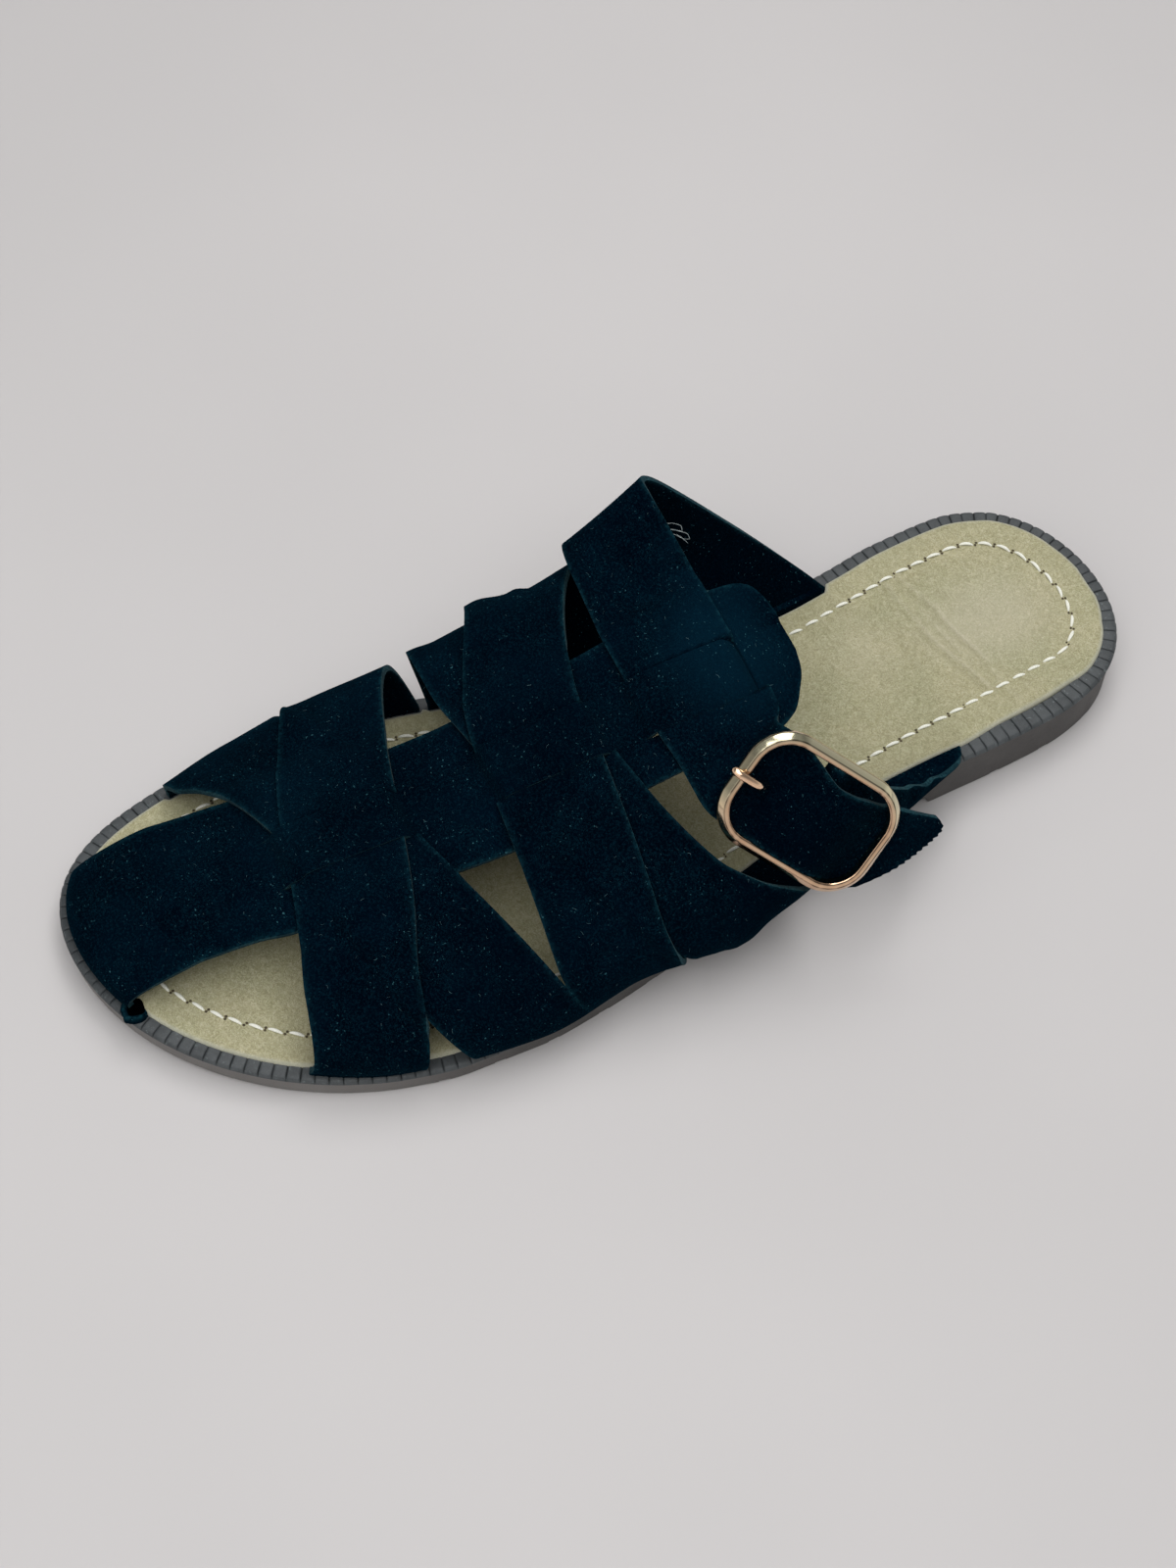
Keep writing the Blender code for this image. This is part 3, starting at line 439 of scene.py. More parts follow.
def sole_loop():
    """Closed edge of the sole, from the heel end along the lateral side and back."""
    turn = np.linspace(0, math.pi, 241)
    s = LENGTH * (1 - np.cos(turn)) / 2
    keys = turn_of([row[0] for row in OUTLINE])
    medial = between(keys, [row[1] for row in OUTLINE], turn)
    lateral = between(keys, [row[2] for row in OUTLINE], turn)
    x = np.concatenate([lateral, medial[-2:0:-1]])
    return x, np.concatenate([s, s[-2:0:-1]])


@functools.lru_cache(maxsize=None)
def inset_sides(inset):
    """The sole's edge moved inward: s and x of the lateral side, then of the medial."""
    x, s = sole_loop()
    nx, ns = inward(x, s)
    x, s = x + inset * nx, s + inset * ns
    heel = int(np.argmin(s))
    x = np.roll(x, -heel)
    s = np.roll(s, -heel)
    toe = int(np.argmax(s))
    lateral = s[: toe + 1], x[: toe + 1]
    medial = (np.append(s[toe:], s[0])[::-1], np.append(x[toe:], x[0])[::-1])
    return lateral, medial


def edge_x(side, s, inset):
    """X of the sole's edge, moved inward, on the medial (-1) or lateral (1) side."""
    lateral, medial = inset_sides(inset)
    edge_s, x = lateral if side > 0 else medial
    start, end = edge_s[0], edge_s[-1]
    return np.interp(turn_of(s, start, end), turn_of(edge_s, start, end), x)


def sole_top(s):
    """Height of the sole's upper edge."""
    fall = (FOREFOOT_HEIGHT - HEEL_HEIGHT) * ease(part_of(s, THINNING))
    return HEEL_HEIGHT + fall + TOE_SPRING * np.clip(part_of(s, TOP_SPRING), 0, None) ** 2


def sole_bottom(s):
    """Height of the underside: heel, lifted waist, flat forefoot and toe spring."""
    waist = ease((s - BREAST) / 2.0) * ease(part_of(s, WAIST_END))
    spring = np.clip(part_of(s, UNDER_SPRING), 0, None) ** 2
    return WAIST_LIFT * waist + TOE_SPRING * spring


def station_parts():
    """Places along the sole as parts of its length, close together at the ends."""
    turn = np.linspace(0, math.pi, SOLE_STATIONS + 1)
    parts = list((1 - np.cos(turn)) / 2)
    parts += [(BREAST + step) / LENGTH for step in (0.0, 0.5, 1.0, 1.5, 2.0)]
    return np.array(sorted(parts))


def sole_ring(inset, edge, shift):
    """Ring of points round the sole, in from its edge and at a shift from a height."""
    lateral = inset_sides(inset)[0]
    start, end = lateral[0][0], lateral[0][-1]
    s = start + (end - start) * station_parts()
    x = np.concatenate([edge_x(1, s, inset), edge_x(-1, s, inset)[-2:0:-1]])
    s = np.concatenate([s, s[-2:0:-1]])
    return np.stack([x, s, edge(s) + shift], axis=-1)


# --- last and straps ---


def base_edge(side, s):
    """X where a strap comes down at the side of the sole."""
    inset = column(STRAP_BASE, 1 if side < 0 else 2, s)
    share = (inset - BASE_NEAR) / (BASE_FAR - BASE_NEAR)
    return edge_x(side, s, BASE_NEAR) * (1 - share) + edge_x(side, s, BASE_FAR) * share


def last_point(s, u):
    """Point of the layer-0 strap surface at s, from side to side with u."""
    s, u = np.broadcast_arrays(np.asarray(s, float), np.asarray(u, float))
    row = [column(LAST, i, s) for i in range(1, 11)]
    medial = u < 0
    base_x = np.where(medial, base_edge(-1, s), base_edge(1, s))
    shoulder_x = np.where(medial, row[2], row[6])
    shoulder_z = np.where(medial, row[3], row[7])
    wall_x = np.where(medial, row[4], row[8])
    wall_z = np.where(medial, row[5], row[9])
    x = bezier(np.abs(u), row[0], shoulder_x, wall_x, base_x)
    z = bezier(np.abs(u), row[1], shoulder_z, wall_z, sole_top(s) + BASE_RISE)
    return np.stack([x, s, z], axis=-1)


def last_normal(s, u):
    """Outward direction of the last's surface, smoothed over 2 mm of length."""
    across = last_point(s, np.minimum(u + 0.01, 1)) - last_point(s, np.maximum(u - 0.01, -1))
    forward = last_point(s + 1.0, u) - last_point(s - 1.0, u)
    return unit(np.cross(across, forward))


def on_last(x, s, lift):
    """Points of the upper surface of the last at the given x."""
    u = np.linspace(-UP_LIMIT, UP_LIMIT, 171)
    section = last_point(np.full(len(u), s), u)
    at = np.interp(x, section[:, 0], u)
    points = last_point(np.full(len(at), s), at)
    return points + last_normal(np.full(len(at), s), at) * np.reshape(lift, (-1, 1))


def toe_edge(x):
    """Points of the footbed's edge round the toe at the given x."""
    lateral, medial = inset_sides(TOE_INSET)
    s = np.concatenate([medial[0], lateral[0][::-1]])
    side = np.concatenate([medial[1], lateral[1][::-1]])
    front = s > TOE_ROUND
    edge_s = np.interp(x, side[front], s[front])
    return np.stack([x, edge_s, sole_top(edge_s) + BASE_RISE], axis=-1)


def toe_rows(lines):
    """Rows of the lengthwise strap from TOE_START down to the welt."""
    across = (lines - lines[0]) / (lines[-1] - lines[0])
    start = on_last(lines, TOE_START, 0.0)
    ahead = on_last(lines, TOE_START + 2.0, 0.0) - start
    end = toe_edge(TOE_SIDES[0] + (TOE_SIDES[1] - TOE_SIDES[0]) * across)
    reach = (end[:, 1] - start[:, 1])[:, None]
    lean = start + ahead / 2.0 * 0.42 * reach
    rise = end + np.array([0.0, 0.5, 1.0]) * 3.4
    rows = [bezier(t, start, lean, rise, end) for t in np.linspace(0.05, 1.0, 20)]
    return rows + [tucked_row(rows[-1])]


def buckle_axes():
    """Directions of the buckle in the shoe: along the strap, across it and up."""
    along = Vector(FRAME_ALONG).normalized()
    up = Vector(FRAME_UP)
    up = (up - along * up.dot(along)).normalized()
    return along, up.cross(along), up


def from_buckle(along, across, up):
    """Point given in the buckle's axes, as x, s, z of the shoe."""
    first, second, third = buckle_axes()
    move = first * along + second * across + third * up
    x, s, z = FRAME_CENTRE
    return x + move.x, s - move.y, z + move.z


def tucked_row(row, part=1.0):
    """A strap's end row, taken straight down between the footbed and the welt."""
    end = row.copy()
    end[:, 2] += (sole_top(end[:, 1]) - TUCK - end[:, 2]) * part
    return end


def folded_grid(side, span, rows, ends, columns, count):
    """Rows of a strap from its base beside the footbed, through its rows, to its end."""
    s = np.linspace(span[0], span[1], columns)
    foot = np.stack([base_edge(side, s), s, sole_top(s) + BASE_RISE], axis=-1)
    edges = []
    for k in (0, -1):
        line = [foot[k]] + [row[3:] if k else row[:3] for row in rows]
        edges.append(route(line + [from_buckle(*pair[k]) for pair in ends], count))
    across = np.linspace(0, 1, columns)[:, None]
    grid = [a + (b - a) * across for a, b in zip(*edges)]
    return np.array([tucked_row(foot), foot] + grid[1:])


# --- what the looks add to the shape ---

# Points of the sheets: along and across each strap.
SOLE_STATIONS = 240
CROSSING_ROWS, CROSSING_COLUMNS = 181, 34
INSTEP_ROWS, INSTEP_COLUMNS = 230, 81
CARRIER_ROWS, CARRIER_COLUMNS = 200, 25
MARGIN_COLUMNS, MIDDLE_COLUMNS = 11, 17
# S of the lengthwise strap's rows: those round its tab, then the tab's end and the step.
TAB_ROWS = {91.3, 91.5, 91.8, 92.8, 93.3, 93.9}
TAB_END = 95.0
VAMP_STEP = 0.9

# Creases of the footbed: x, s of one end, x, s of the other end, depth, half width.
FOOTBED_CREASES = (
    (-21.5, 46.0, -8.0, 41.4, 0.40, 0.55),
    (-8.0, 41.4, 11.0, 37.6, 0.42, 0.60),
    (-20.5, 49.6, -4.0, 47.2, 0.34, 0.60),
    (-4.0, 47.2, 19.0, 40.6, 0.46, 0.62),
    (-12.0, 44.8, 6.0, 42.0, 0.22, 0.50),
    (11.0, 38.2, 25.0, 36.6, 0.22, 0.70),
    (-13.0, 53.0, 6.0, 51.0, 0.14, 1.8),
)

# Stitch line's distance from the sole's edge: s, medial, lateral.
STITCH_INSET = (
    (0.0, 10.6, 10.6),
    (12.0, 10.6, 11.2),
    (24.0, 10.4, 13.2),
    (34.0, 10.6, 13.4),
    (50.0, 10.8, 12.3),
    (64.0, 10.8, 11.5),
    (80.0, 11.5, 10.8),
    (120.0, 11.0, 10.8),
    (260.0, 10.8, 10.8),
)
STITCH_PITCH = 4.6
STITCH_LONG = 3.75
THREAD_RADIUS = 0.37
THREAD_SLANT = 0.24
THREAD_END = 0.12
# Needle holes, drawn as dark discs of painted shade: half width, half length and height of their
# rim and middle.
HOLE_HALVES = (0.34, 0.46)
HOLE_RIM, HOLE_MIDDLE = 0.03, 0.06
HOLE_SIDES = 10

# Footbed's edge, as distance from the sole's edge: s, medial, lateral.
FOOTBED_EDGE = (
    (0.0, 3.2, 3.2),
    (14.0, 3.1, 3.5),
    (26.0, 3.3, 5.0),
    (40.0, 3.3, 4.8),
    (56.0, 3.5, 3.4),
    (260.0, 3.4, 3.4),
)
NOTCH_PITCH = 3.15

# Where a strap's edge stands off what lies beneath: u, reach in u, s of the edge,
# reach in s (positive towards the toe), height.
FRONT_FLARES = ((-0.62, 0.2, 190.0, 8.0, 0.8),)
REAR_UNDER_FLARES = (
    (0.62, 0.25, 116.0, -9.0, 1.0),
    (0.93, 0.2, 116.5, 6.0, 2.4),
    (0.93, 0.2, 124.5, 4.0, -1.4),
    (-0.55, 0.15, 158.0, 6.0, 0.8),
)
REAR_OVER_FLARES = ((-0.5, 0.22, 139.0, 8.0, 2.4), (0.7, 0.2, 142.0, -6.0, 0.7))
# Round end of the instep strap: how far it bulges, over how many rows.
TAIL_BULGE = 4.9
TAIL_ROWS = 26

# Hole beside the lengthwise strap's lateral corner at the toe: x, s of its corners,
# and the direction of the welt from it.
TUCK_HOLE = ((13.2, 252.0), (13.9, 248.9), (18.1, 249.1), (17.5, 253.2))
TUCK_OUTWARD = (0.62, 0.78)
TUCK_POINTS = 48
# Its curled wall, from outside over the rim and into the hole: distance from the
# hole's edge, height, how far it is rubbed pale.
TUCK_ROWS = (
    (1.45, -0.7, 0.0),
    (1.45, 0.3, 0.2),
    (1.25, 0.75, 0.8),
    (0.9, 0.95, 1.6),
    (0.5, 0.8, 1.6),
    (0.15, 0.4, 0.8),
    (0.0, 0.15, 0.0),
    (-0.2, 0.04, 0.0),
)

# Painted light and shade on the straps, paler where light falls on them and deeper where it
# doesn't: x, s, reach in x, reach in s, amount.
PAINTED_STRAP_TONES = (
    (7.0, 106.0, 20.0, 16.0, 0.85),
    (-24.0, 94.0, 18.0, 16.0, 0.7),
    (-8.0, 205.0, 16.0, 14.0, 0.3),
    (52.0, 112.0, 20.0, 18.0, -0.9),
    (44.0, 172.0, 20.0, 16.0, -0.6),
    (6.0, 150.0, 20.0, 14.0, -0.55),
    (4.0, 185.0, 20.0, 18.0, -0.4),
    (-48.0, 140.0, 16.0, 60.0, -0.5),
)

LINT_DENSITY = 0.016
HAIR_POINTS = 6

# Thread ends at the instep strap's rear edge: x, s, z along each.
THREAD_LOOPS = (
    (
        (-25.6, 105.8, 58.9),
        (-24.9, 104.6, 59.3),
        (-23.4, 103.2, 59.2),
        (-22.6, 103.4, 58.6),
        (-23.3, 104.4, 58.6),
        (-24.4, 105.4, 58.3),
    ),
    (
        (-24.2, 105.6, 58.4),
        (-22.8, 104.2, 58.8),
        (-21.2, 102.6, 58.7),
        (-20.3, 102.5, 58.0),
        (-20.8, 103.5, 57.9),
        (-22.4, 104.9, 58.0),
    ),
    ((-23.0, 105.4, 58.0), (-21.8, 104.6, 58.5), (-20.5, 103.9, 58.3), (-19.6, 103.2, 57.6)),
)


def cover(table, s, u, soft):
    """1 where a crossing strap lies, falling to 0 over a soft margin outside it."""
    return window(s, column(table, 1, u), column(table, 2, u), soft)


def instep_cover(x, s, soft):
    """1 where the instep strap lies, falling to 0 outside it."""
    front, rear = (np.interp(x, *zip(*edge)) for edge in (INSTEP_FRONT, INSTEP_REAR))
    return window(s, front, rear, soft)


def vamp_cover(x, s, soft):
    """1 where the lengthwise strap lies, falling to 0 outside it."""
    return window(x, column(VAMP, 4, s), column(VAMP, 1, s), soft) * ease((s - 89.0) / 3.0)


def slit_window(s):
    """How far the slits stand open at s, 0 to 1."""
    opened = np.zeros(np.shape(s))
    for start, end in SLITS:
        opened = np.maximum(opened, ease((s - start) / 3.5) * ease((end - s) / 3.5))
    return opened


def middle_lift(x, s, u):
    """Height of the lengthwise strap's middle over the straps that pass under it."""
    layers = sum(cover(t, s, u, 3.0) for t in (FRONT_UNDER, FRONT_OVER, REAR_UNDER, REAR_OVER))
    return (layers + instep_cover(x, s, 3.0)) * LAYER * slit_window(s)


def under_middle(lift, x, s, u, above=SUEDE_CLEAR):
    """Height of a strap, held below the lengthwise strap's middle."""
    ceiling = middle_lift(x, s, u) - above
    left, right = column(VAMP, 2, s), column(VAMP, 3, s)
    inside = ease((x - left + 0.4) / 1.6) * ease((right + 0.4 - x) / 1.6)
    return (np.minimum(lift, ceiling) - lift) * inside


@functools.lru_cache(maxsize=None)
def last_section(s):
    """A cross-section of the last in fine steps, from side to side."""
    u = np.linspace(-1.0, 1.0, 401)
    return u, last_point(np.full(len(u), s), u)


def upper_side(s):
    """The part of a cross-section that faces up, where x grows steadily."""
    u, section = last_section(round(float(s), 1))
    keep = np.abs(u) <= UP_LIMIT
    return u[keep], section[keep]


def u_at(x, s):
    """Place across the last of a point seen from above."""
    u, section = upper_side(s)
    return np.interp(x, section[:, 0], u)


def flare(flares, s, u):
    """Height that a strap's edge stands off, where it does."""
    height = np.zeros(np.shape(s))
    for at, reach, edge, run, rise in flares:
        height = height + rise * np.exp(-(((u - at) / reach) ** 2)) * ease((s - edge) / run)
    return height


def strap_points(table, under, over, flares):
    """Rows of points of a crossing strap, lying on what passes under it."""
    grid = []
    for u in np.linspace(-1, 1, CROSSING_ROWS):
        s = np.linspace(column(table, 1, u), column(table, 2, u), CROSSING_COLUMNS)
        at = np.full(CROSSING_COLUMNS, u)
        points = last_point(s, at)
        x = points[:, 0]
        lift = LAYER * (0.25 + 0.75 * vamp_cover(x, s, 6.0))
        if under is not None:
            lift = lift + LAYER * cover(under, s, at, 3.5)
        above = SUEDE_CLEAR
        if over is not None:
            above = above + LAYER * cover(over, s, at, 1.0)
        lift = lift + under_middle(lift, x, s, at, above) * (abs(u) < 0.6)
        lift = BASE_LAYER + (lift - BASE_LAYER) * ease((1.0 - abs(u)) / 0.35)
        lift = lift + flare(flares, s, at)
        grid.append(points + last_normal(s, at) * lift[:, None])
    first, last = ([tucked_row(grid[k], part) for part in (0.35, 0.7, 1.0)] for k in (0, -1))
    return np.array(first[::-1] + grid + last)


def middle_rows():
    """S of the lengthwise strap's rows, close together at the tab's round end."""
    marks = {row[0] for row in VAMP[:5]} | TAB_ROWS
    marks |= set(np.arange(TAB_END, TOE_START + 0.1, VAMP_STEP))
    for start, end in SLITS:
        marks = {m for m in marks if abs(m - start) > 0.35 and abs(m - end) > 0.35}
        marks |= {start, end}
    return sorted(float(m) for m in marks)


def vamp_row(s):
    """Points of the lengthwise strap's left margin, middle and right margin at s."""
    edges = [float(column(VAMP, i, s)) for i in range(1, 5)]
    opened = float(slit_window(np.array(s)))
    gap = 0.35 * min(1.0, 3 * opened)
    left = np.linspace(edges[0], edges[1] - gap, MARGIN_COLUMNS)
    middle = np.linspace(edges[1], edges[2], MIDDLE_COLUMNS)
    right = np.linspace(edges[2] + gap, edges[3], MARGIN_COLUMNS)
    lift = middle_lift(middle, np.full(MIDDLE_COLUMNS, s), u_at(middle, s))
    across = np.linspace(-1, 1, MIDDLE_COLUMNS)
    lift = lift + 0.35 * opened * (1 - across**4)
    return on_last(left, s, 0.0), on_last(middle, s, lift), on_last(right, s, 0.0), opened


# --- meshes ---


def new_object(name, data):
    """New object in the scene."""
    obj = bpy.data.objects.new(name, data)
    bpy.context.scene.collection.objects.link(obj)
    return obj


def mesh_object(name, verts, faces):
    """New mesh object from points in metres and faces."""
    mesh = bpy.data.meshes.new(name)
    mesh.from_pydata([tuple(v) for v in verts], [], faces)
    mesh.update()
    return new_object(name, mesh)


def world_points(points):
    """Shoe coordinates to metres, centred on the sole."""
    x, s, z = np.moveaxis(np.asarray(points, float), -1, 0)
    return np.stack([(x - MIDDLE_X) * MM, (LENGTH / 2 - s) * MM, z * MM], axis=-1)


def grid_faces(rows, columns, start=0, closed=False, looped=False):
    """Faces of a grid of points, with its rows closed and its row of rows looped or not."""
    faces = []
    for i in range(rows if looped else rows - 1):
        for j in range(columns if closed else columns - 1):
            k = (j + 1) % columns
            a, b = start + i * columns, start + (i + 1) % rows * columns
            faces.append((a + j, a + k, b + k, b + j))
    return faces


def mark(obj, **marks):
    """Store values at each point, by name."""
    for name, values in marks.items():
        attribute = obj.data.attributes.new(name, "FLOAT", "POINT")
        attribute.data.foreach_set("value", np.asarray(values, np.float32).ravel())
    return obj


def sheet_object(name, grid):
    """Open sheet through a grid of points, rubbed pale along its long edges."""
    rows, columns = grid.shape[:2]
    obj = mesh_object(name, world_points(grid).reshape(-1, 3), grid_faces(rows, columns))
    along = np.array([length_along(*row.T) for row in grid])
    away = np.minimum(along, along[:, -1:] - along)
    return mark(obj, rubbed=np.exp(-((away / EDGE_RUB) ** 2)))


def apply_modifiers(obj):
    """Replace an object's mesh by what its modifiers make of it."""
    bpy.context.view_layer.update()
    graph = bpy.context.evaluated_depsgraph_get()
    mesh = bpy.data.meshes.new_from_object(obj.evaluated_get(graph))
    obj.modifiers.clear()
    old = obj.data
    obj.data = mesh
    bpy.data.meshes.remove(old)
    return obj


def facing_out(obj, merge=0.0):
    """Turn the faces outward, once points nearer than the merge distance are one."""
    bm = bmesh.new()
    bm.from_mesh(obj.data)
    if merge:
        bmesh.ops.remove_doubles(bm, verts=bm.verts, dist=merge)
    bmesh.ops.recalc_face_normals(bm, faces=bm.faces)
    bm.to_mesh(obj.data)
    bm.free()
    return obj


def add_materials(obj, materials):
    """Give an object its materials, in order."""
    for material in materials:
        obj.data.materials.append(material)


def finish(obj, materials, nodes, sharp=None):
    """Give a piece its materials and smooth shading, and put it in the frame."""
    add_materials(obj, materials)
    obj.data.shade_smooth()
    if sharp:
        obj.data.set_sharp_from_angle(angle=math.radians(sharp))
    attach(obj, "root")
    if nodes:
        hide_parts(*nodes)
    return obj


def leather_from_sheet(obj, thickness, materials, nodes, edge=0.28):
    """Give an open sheet its thickness, rounded cut edges and the edges' own finish."""
    add_materials(obj, materials)
    solidify = obj.modifiers.new("Thickness", "SOLIDIFY")
    solidify.thickness = thickness * MM
    solidify.offset = 0.0
    solidify.use_quality_normals = True
    solidify.material_offset_rim = 1
    bevel = obj.modifiers.new("Edge", "BEVEL")
    bevel.width = edge * MM
    bevel.segments = 2
    bevel.limit_method = "ANGLE"
    bevel.angle_limit = math.radians(50)
    apply_modifiers(obj)
    return finish(facing_out(obj), (), nodes, 60)


# --- materials ---


class Shade:
    """Small helper that wires a node tree, with places measured in millimetres."""

    def __init__(self, name):
        self.material = bpy.data.materials.new(name)
        self.material.use_nodes = True
        self.tree = self.material.node_tree
        self.shader = self.tree.nodes["Principled BSDF"]
        self.base = None
        coordinates = self.add("TexCoord")["Object"]
        scaled = {0: coordinates, "Scale": 1 / MM}
        self.place = self.add("VectorMath", scaled, operation="SCALE")[0]

    def feed(self, socket, value):
        """Link a socket to another, or set it to a number or a colour."""
        if isinstance(value, bpy.types.NodeSocket):
            self.tree.links.new(value, socket)
        else:
            socket.default_value = (*value, 1.0) if isinstance(value, tuple) else value

    def add(self, kind, inputs=None, **settings):
        """Outputs of a new node with these inputs and settings."""
        node = self.tree.nodes.new("ShaderNode" + kind)
        for key, value in settings.items():
            setattr(node, key, value)
        for key, value in (inputs or {}).items():
            self.feed(node.inputs[key], value)
        return node.outputs

    def noise(self, size, detail=3.0, rough=0.6, stretch=(1, 1, 1), distortion=0.0):
        """Noise whose features are about size mm across."""
        scale = [1 / (size * k) for k in stretch]
        inputs = {"Vector": self.add("Mapping", {"Vector": self.place, "Scale": scale})[0]}
        inputs |= {"Scale": 1.0, "Detail": detail, "Roughness": rough, "Distortion": distortion}
        return self.add("TexNoise", inputs)["Fac"]

    def band(self, value, low, high, to_low=0.0, to_high=1.0):
        """A value brought smoothly from one range into another."""
        inputs = {"Value": value, "From Min": low, "From Max": high}
        inputs.update({"To Min": to_low, "To Max": to_high})
        return self.add("MapRange", inputs, interpolation_type="SMOOTHSTEP")["Result"]

    def patches(self, size, low=0.3, high=0.7, *to, **noise):
        """Soft patches about size mm across, from 0 to 1."""
        return self.band(self.noise(size, **noise), low, high, *to)

    def math(self, operation, a, b):
        """Result of a sum on two values."""
        return self.add("Math", {0: a, 1: b}, operation=operation)[0]

    def times(self, a, b):
        """One value times another."""
        return self.math("MULTIPLY", a, b)

    def mix(self, factor, a, b):
        """Colour between a and b."""
        return self.add("Mix", {"Factor": factor, "A": a, "B": b}, data_type="RGBA")["Result"]

    def tint(self, mask, tone, amount=None):
        """Mix a tone into the colour so far, where the mask says."""
        mask = mask if amount is None else self.times(mask, amount)
        self.base = self.mix(mask, self.base, tone)

    def bump(self, height, distance, strength=1.0, **below):
        """Normal of a relief whose depth is given in millimetres."""
        inputs = {"Strength": strength, "Distance": distance * MM, "Height": height}
        return self.add("Bump", inputs | below)["Normal"]

    def attribute(self, name):
        """Value that mark() stored at the mesh's points."""
        return self.add("Attribute", attribute_name=name)["Fac"]

    def done(self, **values):
        """The material, once the shader has its colour and these values."""
        for key, value in values.items():
            self.feed(self.shader.inputs[key.replace("_", " ")], value)
        self.feed(self.shader.inputs["Base Color"], self.base)
        return self.material


def suede_material():
    """Napped deep teal suede: brushed patches, grain and paler fibres, with painted light and
    shade on the straps.
    """
    m = Shade("teal_suede_napped")
    broad = m.times(m.patches(24.0, 0.36, 0.66, detail=2.0), 0.55)
    brushed = m.times(m.patches(5.0, 0.36, 0.68, detail=4.0, rough=0.7, distortion=0.8), 0.35)
    clumps = m.patches(9.0, 0.40, 0.66, rough=0.65)
    fibres = m.patches(0.40, 0.56, 0.70, detail=2.0, distortion=2.5)
    nap = m.math("ADD", broad, brushed)
    m.base = m.mix(nap, (0.00018, 0.0010, 0.0036), (0.00045, 0.0038, 0.0096))
    m.tint(m.patches(0.55, 0.46, 0.70, rough=0.75), (0.0022, 0.0200, 0.0340), 0.46)
    m.tint(m.times(fibres, m.math("ADD", m.times(clumps, 0.42), 0.14)), (0.0060, 0.0420, 0.0620))
    # Painted light and shade: paler where light falls on the straps, deeper where it doesn't.
    m.tint(m.attribute("paler"), (0.0016, 0.0155, 0.0300), 0.62)
    m.tint(m.attribute("deeper"), (0.0001, 0.0009, 0.0036), 0.62)
    fray = m.times(m.attribute("rubbed"), m.patches(1.0, 0.30, 0.75))
    m.tint(fray, (0.0080, 0.0460, 0.0640), 0.55)
    specks = m.times(m.patches(0.60, 0.70, 0.76, detail=1.0, rough=0.5), clumps)
    m.tint(specks, (0.040, 0.130, 0.160), 0.8)
    fine = m.bump(m.noise(0.45, rough=0.7), 0.22)
    nap = m.bump(m.noise(1.6, 4.0, 0.65), 0.26, 0.7, Normal=fine)
    return m.done(Roughness=0.95, Sheen_Weight=0.03, Sheen_Roughness=0.42, Specular_IOR_Level=0.0,
                  Sheen_Tint=(0.10, 0.50, 0.75), Normal=nap)


def cut_edge_material():
    """Cut suede edge: paler fibres in thin layers."""
    m = Shade("teal_suede_cut_edge")
    m.base = m.mix(m.patches(0.5, rough=0.65), (0.0020, 0.0150, 0.0240), (0.0200, 0.0750, 0.0920))
    m.tint(m.patches(6.0, 0.35, detail=2.0, rough=0.5), (0.0015, 0.0130, 0.0210), 0.6)
    layers = m.bump(m.noise(0.3, rough=0.7), 0.12, 0.8)
    return m.done(Roughness=0.95, Sheen_Weight=0.03, Sheen_Roughness=0.5, Specular_IOR_Level=0.02,
                  Normal=layers)


def sole_material():
    """Moulded taupe rubber: clouds, grain, streaked scuffs and dust towards the toe."""
    m = Shade("taupe_rubber_moulded")
    streak = (0.12, 0.114, 0.108)
    m.base = m.mix(m.patches(9.0), (0.056, 0.054, 0.053), (0.076, 0.073, 0.071))
    m.tint(m.patches(0.5), streak, 0.25)
    m.tint(m.patches(5.0, 0.62, 0.74, detail=5.0, rough=0.7, stretch=(1, 1, 0.25)), streak, 0.35)
    dust = m.times(m.attribute("dust"), m.patches(14.0, 0.1, 0.6, 0.6, 1.0))
    m.tint(dust, (0.215, 0.206, 0.198))
    fine = m.bump(m.noise(0.3), 0.05, 0.6)
    swell = m.bump(m.noise(2.5, 2.0, 0.5), 0.06, 0.5, Normal=fine)
    return m.done(Roughness=0.62, Specular_IOR_Level=0.35, Normal=swell)


def welt_material():
    """Slate rubber welt, with pale scuffs near the heel and the toe."""
    m = Shade("slate_welt_rubber")
    m.base = m.mix(m.patches(5.0), (0.040, 0.046, 0.050), (0.062, 0.070, 0.075))
    m.tint(m.patches(0.45), (0.085, 0.097, 0.103), 0.3)
    scuffs = m.patches(1.1, 0.56, 0.72, detail=4.0, rough=0.7)
    m.tint(m.times(m.attribute("scuff"), scuffs), (0.24, 0.29, 0.29))
    # Painted shade in the notches.
    m.tint(m.attribute("notch"), (0.016, 0.017, 0.018))
    m.tint(m.attribute("shade"), (0.016, 0.022, 0.026), 0.8)
    return m.done(Roughness=0.55, Specular_IOR_Level=0.4, Normal=m.bump(m.noise(0.35), 0.05, 0.7))


